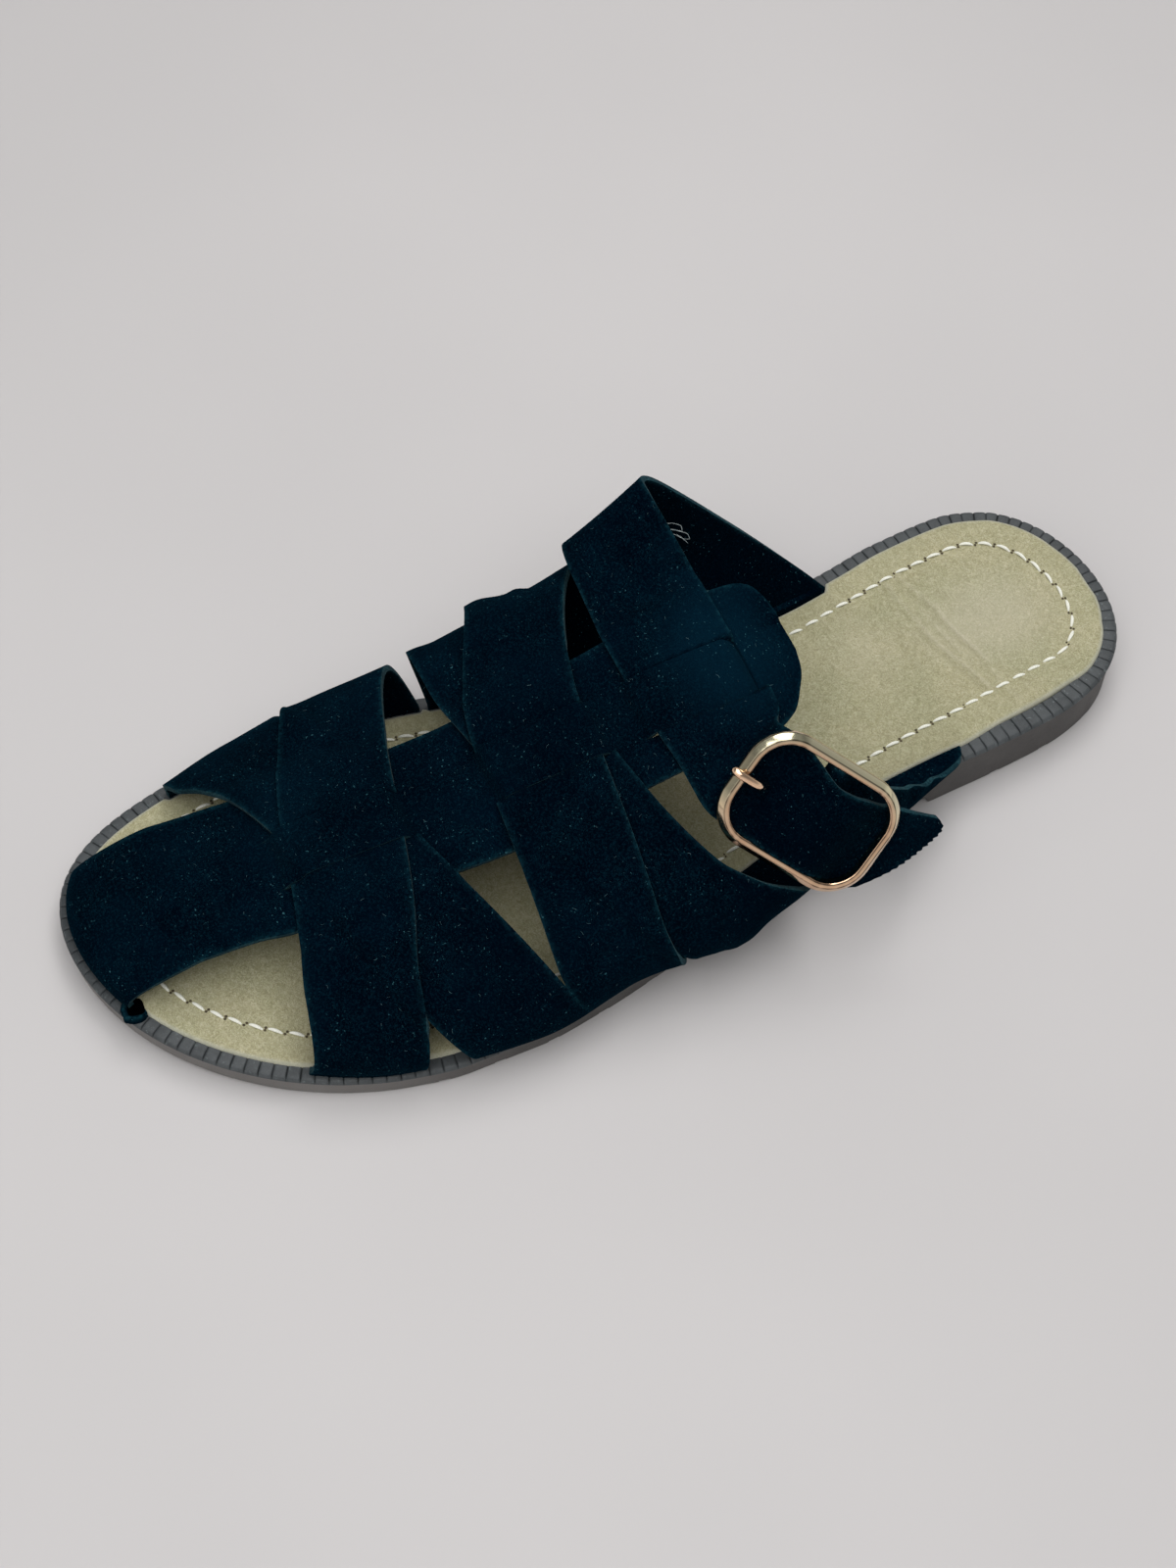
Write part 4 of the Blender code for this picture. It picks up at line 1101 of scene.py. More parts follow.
def nubuck_material():
    """Olive beige nubuck: clouded, scratched with fine curls, rubbed paler at the heel, with
    painted shade beside the straps and darker crease troughs.
    """
    m = Shade("beige_nubuck_napped")
    contour = m.math("SUBTRACT", m.noise(2.2, rough=0.65, distortion=2.6), 0.5)
    curls = m.band(m.math("ABSOLUTE", contour, 0.0), 0.006, 0.050, 1.0, 0.0)
    m.base = m.mix(m.patches(18.0, rough=0.55), (0.335, 0.338, 0.198), (0.430, 0.402, 0.246))
    m.tint(m.patches(2.6, detail=4.0, rough=0.65), (0.300, 0.284, 0.156), 0.45)
    grain = m.patches(0.95, 0.38, 0.64, detail=4.0, rough=0.75, distortion=2.0)
    m.tint(grain, (0.600, 0.575, 0.415), 0.62)
    m.tint(curls, (0.205, 0.192, 0.100), 0.50)
    m.tint(m.attribute("rubbed"), (0.570, 0.535, 0.415))
    # Painted shade beside the straps, darker near the edge and in the crease troughs.
    m.tint(m.attribute("painted_shade_and_darker_creases"), (0.235, 0.220, 0.130))
    m.tint(m.attribute("rim"), (0.500, 0.515, 0.450))
    fine = m.bump(m.noise(0.45, rough=0.7, distortion=0.6), 0.11, 0.9)
    fine = m.bump(curls, 0.05, 0.6, Normal=fine)
    nap = m.bump(m.noise(3.5), 0.20, 0.6, Normal=fine)
    return m.done(Roughness=0.9, Sheen_Weight=0.08, Sheen_Roughness=0.5, Specular_IOR_Level=0.12,
                  Normal=nap)


def metal_material():
    """Polished rose-gold plating: painted pale reflection on the bevel, painted dark reflection
    lines along its edges, faint wear.
    """
    m = Shade("rose_gold_polished")
    wear = m.patches(3.0, 0.35, detail=4.0)
    m.base = m.mix(wear, (0.93, 0.61, 0.40), (0.96, 0.68, 0.47))
    # Painted reflections: pale on the bevel where it faces the light, dark along the corners.
    m.tint(m.attribute("pale"), (0.93, 0.88, 0.62))
    m.tint(m.attribute("line"), (0.060, 0.038, 0.024))
    m.done(Metallic=1.0, Roughness=0.14, Normal=m.bump(m.noise(1.4), 0.012, 0.6))
    return m.done(Roughness=m.patches(0.8, 0.3, 0.8, 0.09, 0.20, detail=4.0, rough=0.7))


def thread_material():
    """Cream thread with a twist."""
    m = Shade("cream_thread")
    wave = {"Vector": m.place, "Scale": 1.4}
    twist = m.add("TexWave", wave, wave_type="BANDS", bands_direction="DIAGONAL")["Fac"]
    m.base = m.mix(twist, (0.80, 0.82, 0.70), (1.0, 1.0, 0.94))
    normal = m.bump(twist, 0.05, 0.8)
    return m.done(Roughness=0.8, Sheen_Weight=0.2, Sheen_Roughness=0.4, Normal=normal)


def plain_material(name, dark, light, size, roughness=0.9, specular=0.3):
    """Material clouded between two tones."""
    m = Shade(name)
    m.base = m.mix(m.patches(size), dark, light)
    return m.done(Roughness=roughness, Specular_IOR_Level=specular)


# --- sole ---


def ladder_faces(count, start):
    """Faces from side to side that close a ring of the sole."""
    faces = []
    for i in range(count // 2):
        corners = (i, i + 1, (count - i - 1) % count, (count - i) % count)
        faces.append(tuple(start + c for c in dict.fromkeys(corners)))
    return faces


def cut_groove(obj, s):
    """Cut a groove straight across the tread."""
    half = Vector((60.0, GROOVE_WIDTH / 2, GROOVE_DEPTH)) * MM
    shape = Matrix.Translation(world_points((MIDDLE_X, s, 0.0))) @ Matrix.Diagonal((*half, 1.0))
    box = new_object("groove", bpy.data.meshes.new("groove"))
    bm = bmesh.new()
    bmesh.ops.create_cube(bm, size=2.0, matrix=shape)
    bm.to_mesh(box.data)
    bm.free()
    boolean = obj.modifiers.new("Groove", "BOOLEAN")
    boolean.operation = "DIFFERENCE"
    boolean.solver = "EXACT"
    boolean.object = box
    apply_modifiers(obj)
    bpy.data.objects.remove(box)


def make_outsole(surface):
    """Rubber unit with its heel block, waist, mould line and tread grooves."""
    below = -WELT_THICK - 0.05
    # Inset from the wall and height over the underside, then over the upper edge.
    tread = ((EDGE_ROUND, 0.0), (0.62, 0.08), (0.26, 0.28), (0.06, 0.58), (0.0, EDGE_ROUND))
    wall = ((0.0, below - 1.1), (-0.22, below - 0.8), (-0.24, below - 0.3), (0.0, below))
    rings = [sole_ring(WALL_INSET + inset, sole_bottom, shift) for inset, shift in tread]
    rings += [sole_ring(WALL_INSET + inset, sole_top, shift) for inset, shift in wall]
    rings += [sole_ring(RECESS_INSET, sole_top, shift) for shift in (below, -RECESS_DEPTH)]
    count = len(rings[0])
    faces = grid_faces(len(rings), count, closed=True)
    faces += ladder_faces(count, 0) + ladder_faces(count, (len(rings) - 1) * count)
    obj = facing_out(mesh_object("outsole_rubber", world_points(rings).reshape(-1, 3), faces))
    for s in HEEL_GROOVES + BALL_GROOVES:
        cut_groove(obj, s)
    obj.data.materials.clear()
    s = np.array([LENGTH / 2 - vertex.co.y / MM for vertex in obj.data.vertices])
    mark(obj, dust=0.75 * ease((s - 165.0) / 60.0))
    return finish(obj, (surface,), ["outsole"], 32)


def outline_by_length(step):
    """The sole's edge at even steps: x, s, inward x, inward s and length along it."""
    x, s = (np.append(values, values[0]) for values in sole_loop())
    along = length_along(x, s)
    at = np.linspace(0.0, along[-1], int(round(along[-1] / step)), endpoint=False)
    x, s = (blurred(np.interp(at, along, values), 2) for values in (x, s))
    return x, s, *inward(x, s), at


def make_welt(surface):
    """Beaded strip round the top of the sole, with a thin lip at its outer edge."""
    x, s, nx, ns, along = outline_by_length(0.3)
    total = along[-1] + along[1]
    count = round(total / NOTCH_PITCH)
    pitch = total / count
    bead = (0.0, 0.035, 0.07, 0.12, 0.22, 0.36, 0.5, 0.64, 0.78, 0.88, 0.93, 0.965)
    phase = np.tile(bead, count)
    beads = np.repeat(np.arange(count), len(bead))
    at = (beads + phase) * pitch
    x, s, nx, ns = (np.interp(at, along, values, period=total) for values in (x, s, nx, ns))
    notch = np.clip(1.0 - np.minimum(phase, 1.0 - phase) * pitch / 0.26, 0.0, 1.0)
    rng = random.Random(6)
    wear = np.array([rng.uniform(0.35, 1.0) for _ in range(count)])
    notch = notch * wear[(beads + (phase > 0.5)) % count]
    pillow = np.sqrt(np.clip(1.0 - (2 * np.abs(phase - 0.5)) ** 4, 0.0, 1.0))
    top = sole_top(s)
    # The strip's section, from its underside round the outer edge and over the top:
    # inset, height, depth of the notches there, share of the beads' roundness there.
    profile = (
        (0.30, -WELT_THICK, 0.0, 0.0),
        (0.02, -WELT_THICK + 0.15, 0.0, 0.0),
        (0.00, -0.72, 0.2, 0.7),
        (0.08, -0.56, 0.3, 0.8),
        (0.26, -0.46, 0.4, 0.9),
        (0.36, -0.26, 0.55, 0.8),
        (0.55, -0.06, 0.8, 1.0),
        (1.00, 0.02, 0.9, 1.0),
        (1.90, 0.04, 0.9, 1.0),
        (2.70, 0.00, 0.9, 0.8),
        (4.60, -0.10, 0.5, 0.3),
        (5.20, -WELT_THICK, 0.0, 0.0),
    )
    loops = []
    marks = []
    for inset, height, cut, puff in profile:
        outer = float(inset < 0.9)
        depth = inset + (0.14 * notch * cut + 0.42 * puff * (1.0 - pillow)) * outer
        z = top + height - 0.40 * notch * cut + 0.18 * puff * (pillow - 1.0)
        loops.append(np.stack([x + nx * depth, s + ns * depth, z], axis=-1))
        # Painted shade in the notches.
        marks.append(0.85 * notch * cut)
    faces = grid_faces(len(loops), len(x), closed=True, looped=True)
    obj = facing_out(mesh_object("welt_notched", world_points(loops).reshape(-1, 3), faces))
    scuff = 0.75 * ease((55.0 - s) / 30.0) * (x > 0) + 0.45 * ease((s - 205.0) / 25.0) + 0.12
    strength = np.array([0.2, 0.3, 0.6, 0.8, 0.8, 0.8, 0.6, 0.3, 0.3, 0.9, 1.0, 1.0])[:, None]
    shade = ease((s - 233.0) / 8.0) * ease((x + 24.0) / 5.0) * ease((19.0 - x) / 4.0)
    shade = np.tile(shade, (len(loops), 1)) * np.linspace(0.15, 1.0, len(loops))[:, None]
    mark(obj, notch=marks, scuff=np.tile(scuff, (len(loops), 1)) * strength, shade=shade)
    return finish(obj, (surface,), ["welt"], 55)


def creases(x, s):
    """Depth of the soft troughs, with a ridge beside each, at points of the footbed."""
    depth = np.zeros(np.shape(x))
    for x0, s0, x1, s1, deep, wide in FOOTBED_CREASES:
        run = np.array((x1 - x0, s1 - s0))
        size = float(np.hypot(*run))
        along = ((x - x0) * run[0] + (s - s0) * run[1]) / size
        away = ((x - x0) * run[1] - (s - s0) * run[0]) / size
        bow = away + 0.30 * np.sin(along * 0.27)
        fade = ease((along + 2.0) / 4.0) * ease((size + 2.0 - along) / 4.0)
        trough = np.exp(-((bow / wide) ** 2))
        ridge = 0.45 * np.exp(-(((bow - 2 * wide) / wide) ** 2))
        depth = depth + deep * fade * (trough - ridge)
    return depth


def strap_spans():
    """Where straps go down beside the footbed: side, front s, rear s."""
    spans = [(-1, INSTEP_BASE[0], INSTEP_BASE[1]), (1, CARRIER_BASE[0], CARRIER_BASE[1])]
    for table in (FRONT_UNDER, FRONT_OVER, REAR_UNDER, REAR_OVER):
        spans.append((-1, table[0][1], table[0][2]))
        spans.append((1, table[-1][1], table[-1][2]))
    return spans


def footbed_inset(side, s):
    """Distance of the footbed's edge from the sole's edge, more where a strap goes down."""
    inset = column(FOOTBED_EDGE, 1 if side < 0 else 2, s)
    room = np.zeros(np.shape(s))
    for strap_side, front, rear in strap_spans():
        if strap_side == side:
            beside = ease((front + 1.2 - s) / 1.4) * ease((s - rear + 1.2) / 1.4)
            room = np.maximum(room, beside)
    needed = column(STRAP_BASE, 1 if side < 0 else 2, s) + 1.0
    return inset + np.maximum(needed - inset, 0.0) * room


def footbed_height(s, across):
    """Top of the footbed: level at its edge, dished at the heel and under the ball."""
    dish = HEEL_DISH * ease((100.0 - s) / 60.0) * ease(s / 22.0)
    hollow = BALL_DISH * ease((s - 70.0) / 40.0) * ease((170.0 - s) / 40.0)
    bowl = (1 - across**2) ** 1.5
    return sole_top(s) + INSOLE_RISE - (dish + hollow) * bowl


def footbed_point_height(x, s):
    """Top of the footbed at points seen from above."""
    lateral = edge_x(1, s, 3.4)
    medial = edge_x(-1, s, 3.4)
    across = np.clip((2 * x - lateral - medial) / np.maximum(lateral - medial, 1e-6), -1, 1)
    return footbed_height(s, across) - creases(x, s)


def footbed_side(side, s):
    """X of the footbed's edge, with the room left beside each strap."""
    near, far = 3.0, 6.0
    share = (footbed_inset(side, s) - near) / (far - near)
    return edge_x(side, s, near) * (1 - share) + edge_x(side, s, far) * share


def distance_to_loop(x, s, loop_x, loop_s):
    """Distance of points from a closed loop, as far as it matters for a rolled edge."""
    away = np.full(x.shape, 9.0)
    for i in range(len(loop_x)):
        j = (i + 1) % len(loop_x)
        ex, es = loop_x[j] - loop_x[i], loop_s[j] - loop_s[i]
        size = ex * ex + es * es + 1e-12
        t = np.clip(((x - loop_x[i]) * ex + (s - loop_s[i]) * es) / size, 0, 1)
        away = np.minimum(away, np.hypot(x - loop_x[i] - t * ex, s - loop_s[i] - t * es))
    return away


def make_footbed(surface):
    """Nubuck footbed with a rolled edge, a dished top and creases before the heel."""
    turn = np.linspace(0, math.pi, 521)
    s = 3.35 + (LENGTH - 6.7) * (1 - np.cos(turn)) / 2
    lateral = footbed_side(1, s)
    medial = footbed_side(-1, s)
    for end in (0, -1):
        lateral[end] = medial[end] = (lateral[end] + medial[end]) / 2
    loop_x = np.concatenate([lateral, medial[-2:0:-1]])
    loop_s = np.concatenate([s, s[-2:0:-1]])
    across = np.sin(np.linspace(-math.pi / 2, math.pi / 2, 95))
    across = 0.35 * across + 0.65 * np.linspace(-1, 1, 95)
    x = (lateral + medial)[:, None] / 2 + (lateral - medial)[:, None] / 2 * across[None, :]
    ss = np.repeat(s[:, None], len(across), axis=1)
    away = distance_to_loop(x, ss, loop_x, loop_s)
    folds = creases(x, ss)
    roll = 0.75 * (1 - np.sqrt(1 - np.clip(1 - away / 1.3, 0, 1) ** 2))
    z = footbed_height(ss, across[None, :]) - folds - roll
    top = np.stack([x, ss, z], axis=-1)
    rows, columns = x.shape
    points = top.reshape(-1, 3)
    faces = grid_faces(rows, columns)
    ring = [i * columns + columns - 1 for i in range(rows)]
    ring += [i * columns for i in range(rows - 2, 0, -1)]
    foot = points[ring]
    foot[:, 2] = sole_top(foot[:, 1]) - INSOLE_DEPTH
    low = list(range(len(points), len(points) + len(ring)))
    faces += list(zip(ring, ring[1:] + ring[:1], low[1:] + low[:1], low))
    faces.append(tuple(low[::-1]))
    obj = mesh_object("footbed_nubuck", world_points(np.concatenate([points, foot])), faces)
    rubbed = 0.42 * np.exp(-(((x + 1.0) / 12.0) ** 2 + ((ss - 30.0) / 15.0) ** 2) ** 1.5)
    rubbed += 0.18 * np.exp(-(((x + 4.0) / 10.0) ** 2 + ((ss - 62.0) / 9.0) ** 2))
    # Painted shade beside the footbed's edge where each strap goes down.
    under = np.zeros(x.shape)
    for side, front, rear in strap_spans():
        reach = np.abs(x - (lateral if side > 0 else medial)[:, None])
        under = np.maximum(under, window(ss, front, rear, 6) * np.exp(-reach / 9.0))
    # Painted shade beside the straps, plus darker near the edge and in the crease troughs.
    painted_shade_and_darker_creases = 0.30 * under + 0.105 * ease((1.6 - away) / 1.6) + 0.55 * folds.clip(0, 1)
    rubbed += 1.4 * (-folds).clip(0, 1)
    marks = {"rubbed": rubbed, "painted_shade_and_darker_creases": painted_shade_and_darker_creases, "rim": 0.55 * ease((1.1 - away) / 0.9)}
    for name, values in marks.items():
        values = np.concatenate([values.ravel(), np.zeros(len(low))])
        mark(obj, **{name: np.clip(values, 0, 1)})
    facing_out(obj, merge=1e-6)
    return finish(obj, (surface,), ["insole"], 60)


def stitch_line():
    """Points of the closed stitch line at even steps: x, s."""
    x, s, nx, ns, _ = outline_by_length(0.5)
    medial = x < np.interp(s, (0, 60, 260), (-1.0, 4.0, 4.0))
    inset = np.where(medial, column(STITCH_INSET, 1, s), column(STITCH_INSET, 2, s))
    inset = blurred(inset, 12)
    line = blurred(np.stack([x + nx * inset, s + ns * inset], axis=1), 30)
    return np.append(line, line[:1], axis=0).T


def add_tube(verts, faces, line, radii, sides, squash=1.0, up=(0, 0, 1.0)):
    """Add a closed tube along a line."""
    line = np.asarray(line, float)
    forward = unit(np.gradient(line, axis=0))
    side = unit(np.cross(forward, up))
    over = np.cross(side, forward) * squash
    turn = np.linspace(0, 2 * math.pi, sides, endpoint=False)[None, :, None]
    ring = side[:, None] * np.cos(turn) + over[:, None] * np.sin(turn)
    first = len(verts)
    verts += list((line[:, None] + np.reshape(radii, (-1, 1, 1)) * ring).reshape(-1, 3))
    faces += grid_faces(len(line), sides, first, closed=True)
    faces.append(tuple(range(first, first + sides)))
    faces.append(tuple(range(len(verts) - 1, len(verts) - 1 - sides, -1)))


def add_needle_hole_shade(verts, faces, centre, forward, side):
    """Add a small dark disc on the footbed: painted shade of a needle hole."""
    x, s = MIDDLE_X + centre[0] / MM, LENGTH / 2 - centre[1] / MM
    height = float(footbed_point_height(x, s))
    first = len(verts)
    middle = np.array((centre[0], centre[1], (height + HOLE_MIDDLE) * MM))
    verts.append(middle)
    wide, long = HOLE_HALVES
    for turn in np.linspace(0, 2 * math.pi, HOLE_SIDES, endpoint=False):
        rim = middle + (side * wide * math.cos(turn) + forward * long * math.sin(turn)) * MM
        rim[2] = (height + HOLE_RIM) * MM
        verts.append(rim)
    for n in range(HOLE_SIDES):
        faces.append((first, first + 1 + n, first + 1 + (n + 1) % HOLE_SIDES))


def make_stitches(thread, hole_shade):
    """Running stitch round the footbed: one short length of thread to each pitch."""
    x, s = stitch_line()
    along = length_along(x, s)
    count = int(round(along[-1] / STITCH_PITCH))
    verts, faces, dots, dot_faces = [], [], [], []
    arch = np.array([-0.42, 0.02, 0.24, 0.35, 0.38, 0.35, 0.24, 0.02, -0.42])
    width = THREAD_RADIUS * np.array([0.35, 0.7, 0.95, 1.1, 1.15, 1.1, 0.95, 0.7, 0.35])
    lean = THREAD_SLANT * np.linspace(1.0, -1.0, len(arch)) / 0.4
    rng = random.Random(4)
    for k in range(count):
        start = (k + 0.5) * along[-1] / count + rng.uniform(-0.12, 0.12)
        end = STITCH_LONG + THREAD_END + rng.uniform(-0.2, 0.2)
        at = (start + np.linspace(-THREAD_END, end, len(arch))) % along[-1]
        px, ps = np.interp(at, along, x), np.interp(at, along, s)
        px, ps = px + np.gradient(ps) * lean, ps - np.gradient(px) * lean
        line = world_points(np.stack([px, ps, footbed_point_height(px, ps) + arch], axis=-1))
        add_tube(verts, faces, line, width * MM, 8, 0.8)
        forward = unit(np.gradient(line, axis=0))
        side = unit(np.cross(forward, (0, 0, 1.0)))
        # Painted shade: a dark disc at each end of the stitch stands for its needle hole.
        for i, reach in ((0, -0.35), (-1, 0.35)):
            centre = line[i] + forward[i] * reach * MM
            add_needle_hole_shade(dots, dot_faces, centre, forward[i], side[i])
    stitches = facing_out(mesh_object("footbed_stitches", verts, faces))
    finish(stitches, (thread,), [])
    hole_shades = facing_out(mesh_object("footbed_needle_hole_shades", dots, dot_faces))
    finish(hole_shades, (hole_shade,), [])


# --- straps ---


def make_crossing(name, table, under, over, flares, finishes):
    """Strap across the foot, over the strap under it and under the one over it."""
    grid = strap_points(table, under, over, flares)
    return leather_from_sheet(sheet_object(name, grid), SUEDE, finishes, ["upper"])


def strip_faces(first, second):
    """Faces between two rows of point numbers."""
    return list(zip(first[:-1], first[1:], second[1:], second[:-1]))


def make_vamp(finishes):
    """Lengthwise strap: one sheet from tab to toe, slit where it passes over others."""
    verts, faces, rows = [], [], []
    for s in middle_rows():
        *parts, opened = vamp_row(s)
        strips = []
        for part in parts:
            strips.append(list(range(len(verts), len(verts) + len(part))))
            verts += list(part)
        if opened <= 0:
            strips[1][0] = strips[0][-1]
            strips[2][0] = strips[1][-1]
        rows.append(strips)
    for first, second in zip(rows[:-1], rows[1:]):
        for a, b in zip(first, second):
            faces += strip_faces(a, b)
    edges = [float(column(VAMP, i, TOE_START)) for i in range(1, 5)]
    lines = np.concatenate([
        np.linspace(edges[0], edges[1], MARGIN_COLUMNS),
        np.linspace(edges[1], edges[2], MIDDLE_COLUMNS)[1:],
        np.linspace(edges[2], edges[3], MARGIN_COLUMNS)[1:],
    ])
    last = rows[-1][0] + rows[-1][1][1:] + rows[-1][2][1:]
    for row in toe_rows(lines):
        ring = list(range(len(verts), len(verts) + len(row)))
        verts += list(row)
        faces += strip_faces(last, ring)
        last = ring
    used = sorted({i for face in faces for i in face})
    index = {old: new for new, old in enumerate(used)}
    faces = [tuple(index[i] for i in face) for face in faces]
    points = np.array(verts)[used]
    obj = mesh_object("vamp_strap", world_points(points), faces)
    x, s, _ = points.T
    away = np.minimum(x - column(VAMP, 1, s), column(VAMP, 4, s) - x)
    mark(obj, rubbed=np.exp(-((np.clip(away, 0, None) / EDGE_RUB) ** 2)))
    return leather_from_sheet(obj, SUEDE, finishes, ["upper"])


def settle_instep(grid):
    """Lay the instep strap's middle down on the foot and the lengthwise strap."""
    for row in grid:
        near = ease((row[:, 0] + 20.0) / 10.0) * ease((33.0 - row[:, 0]) / 7.0)
        for j in np.nonzero(near > 0)[0]:
            x, s, z = row[j]
            u, section = upper_side(s)
            at = np.array([np.interp(x, section[:, 0], u)])
            up = last_normal(np.array([s]), at)[0]
            lift = (z - np.interp(x, section[:, 0], section[:, 2])) * up[2]
            target = LAYER * (0.35 + 0.65 * float(vamp_cover(x, s, 6.0)))
            target += float(under_middle(target, x, s, at[0]))
            row[j] += up * (target - lift) * near[j]


def round_tail(grid):
    """Give the instep strap's end its round outline and its ragged cut."""
    across = np.linspace(-1, 1, INSTEP_COLUMNS)
    outline = 1 - np.abs(across) ** np.where(across > 0, 6.0, 2.4)
    forward = unit(grid[-1] - grid[-8])
    rng = random.Random(8)
    teeth = 0.36 * np.sin(np.linspace(0, 2 * math.pi * 14.4, INSTEP_COLUMNS))
    teeth = teeth * np.array([rng.uniform(0.5, 1.3) for _ in range(INSTEP_COLUMNS)])
    for i in range(TAIL_ROWS):
        share = (i + 1) / TAIL_ROWS
        reach = (TAIL_BULGE * ease(share) + teeth * ease((share - 0.6) / 0.4)) * outline
        grid[i - TAIL_ROWS] += forward * reach[:, None]


def make_instep(finishes):
    """Instep strap, from the medial base over the foot and through the buckle."""
    tail = [(row[:3], row[3:]) for row in INSTEP_TAIL]
    grid = folded_grid(-1, INSTEP_BASE, INSTEP, tail, INSTEP_COLUMNS, INSTEP_ROWS)
    settle_instep(grid)
    round_tail(grid)
    return leather_from_sheet(sheet_object("instep_strap", grid), SUEDE, finishes, ["upper"])


def make_carrier(finishes):
    """Buckle strap, from the lateral base round the centre bar and back."""
    loop = [((along, -half, up), (along, half, up)) for along, up, half in CARRIER_LOOP]
    grid = folded_grid(1, CARRIER_BASE, CARRIER, loop, CARRIER_COLUMNS, CARRIER_ROWS)
    x, s, z = np.moveaxis(grid, -1, 0)
    crumple = ease((z - 18.0) / 3.0) * ease((28.0 - z) / 4.0) * ease((84.0 - s) / 12.0)
    x += 0.50 * crumple * (np.sin(0.62 * s + 0.35 * z + 0.6) + 0.35 * np.sin(1.5 * s - 0.9 * z))
    sheet = sheet_object("buckle_strap_fold", grid)
    return leather_from_sheet(sheet, CARRIER_THICK, finishes, ["buckle_strap"], 0.22)


def smooth_loop(corners, count, passes):
    """Closed loop of even points through the corners, rounded by averaging."""
    ends = np.array(list(corners) + [corners[0]], float)
    along = length_along(*ends.T)
    at = np.linspace(0.0, along[-1], count, endpoint=False)
    return blurred(np.stack([np.interp(at, along, values) for values in ends.T], axis=-1), passes)


def make_corner_tuck(finishes):
    """Curled suede round a hole where the lengthwise strap goes down at the toe; the hole's floor
    is a near-black sheet of painted shadow.
    """
    loop = smooth_loop(TUCK_HOLE, TUCK_POINTS, 14)
    away = unit(loop - loop.mean(axis=0))
    wall = ease((away @ np.array(TUCK_OUTWARD) + 0.45) / 0.9)
    rng = random.Random(3)
    crinkle = 1.0 + 0.22 * np.array([rng.uniform(-1, 1) for _ in range(TUCK_POINTS)])
    crinkle = (np.roll(crinkle, 1) + crinkle + np.roll(crinkle, -1)) / 3
    ground = footbed_point_height(*loop.T).min() + 0.12
    rows, rubbed = [], []
    for offset, height, rub in TUCK_ROWS:
        reach = offset * (wall * crinkle if offset > 0 else np.ones(TUCK_POINTS))
        points = loop + away * reach[:, None]
        z = ground + height * (wall * crinkle if height > 0.1 else np.ones(TUCK_POINTS))
        if offset <= 0:
            z = footbed_point_height(*points.T) + 0.14 - offset * 0.1
        rows.append(np.column_stack([points, z]))
        rubbed += [rub] * TUCK_POINTS
    faces = grid_faces(len(rows), TUCK_POINTS, closed=True)
    first_shadow_face = len(faces) - TUCK_POINTS
    faces.append(tuple(range((len(rows) - 1) * TUCK_POINTS, len(rows) * TUCK_POINTS)))
    faces.append(tuple(range(TUCK_POINTS - 1, -1, -1)))
    obj = mesh_object("vamp_corner_tuck", world_points(rows).reshape(-1, 3), faces)
    mark(obj, rubbed=rubbed)
    finish(obj, finishes, ["upper"])
    # Painted shadow: the hole's floor and the band just round it take the near-black material.
    for number, polygon in enumerate(obj.data.polygons):
        polygon.material_index = int(first_shadow_face <= number)
    facing_out(obj)
    obj.data.shade_smooth()
    obj.data.set_sharp_from_angle(angle=math.radians(50))


def add_hair(verts, faces, path, radius):
    """Add a thin three-sided fibre along a path in metres."""
    radii = np.full(len(path), radius * MM)
    radii[[0, -1]] *= 0.5
    add_tube(verts, faces, path, radii, 3, up=(0.3, 0.2, 0.93))


def paint_strap_light_and_shade(straps):
    """Paint light and shade onto the straps: paler where light falls, deeper where it doesn't and
    on faces turned inward.
    """
    for obj in straps:
        co, normal = np.empty((2, len(obj.data.vertices) * 3))
        obj.data.vertices.foreach_get("co", co)
        obj.data.vertices.foreach_get("normal", normal)
        x = co[0::3] / MM + MIDDLE_X
        s = LENGTH / 2 - co[1::3] / MM
        tone = np.zeros(len(x))
        for at_x, at_s, reach_x, reach_s, amount in PAINTED_STRAP_TONES:
            away = np.hypot((x - at_x) / reach_x, (s - at_s) / reach_s)
            tone += amount * ease(1.25 - away)
        # Painted shade on strap faces turned inward, towards the middle of the shoe.
        facing_inward = ease((-normal[0::3] * np.sign(x - 6.0) - 0.25) / 0.35)
        tone = np.where(tone > 0, tone * (1 - facing_inward), tone) - 0.9 * facing_inward
        mark(obj, paler=np.clip(tone, 0, 1), deeper=np.clip(-tone, 0, 1))


def make_lint(straps, fibre):
    """Loose fibres caught in the nap: short curled hairs scattered over the straps."""
    rng = random.Random(11)
    verts, faces = [], []
    for obj in straps:
        pieces = [p for p in obj.data.polygons if p.material_index == 0 and p.normal.z > 0.25]
        areas = [p.area for p in pieces]
        count = int(sum(areas) / MM**2 * LINT_DENSITY)
        for polygon in rng.choices(pieces, weights=areas, k=count):
            normal = np.array(polygon.normal)
            turn = rng.uniform(0, 2 * math.pi)
            first = unit(np.cross(normal, (math.cos(turn), math.sin(turn), 0.3)))
            second = np.cross(normal, first)
            long = rng.uniform(0.4, 1.4) * MM
            angle = rng.uniform(-2.4, 2.4) * np.linspace(-0.5, 0.5, HAIR_POINTS)[:, None]
            step = first * np.cos(angle) + second * np.sin(angle)
            root = np.array(polygon.center) + normal * 0.10 * MM
            path = root + np.cumsum(step, axis=0) * long / HAIR_POINTS
            add_hair(verts, faces, path, rng.uniform(0.020, 0.036))
    finish(facing_out(mesh_object("suede_lint", verts, faces)), (fibre,), [])


def make_threads(thread):
    """Frayed thread ends at the instep strap's rear edge."""
    verts, faces = [], []
    for loop in THREAD_LOOPS:
        add_hair(verts, faces, world_points(route(loop, 26)), 0.066)
    finish(facing_out(mesh_object("frayed_threads", verts, faces)), (thread,), [])


# --- buckle ---


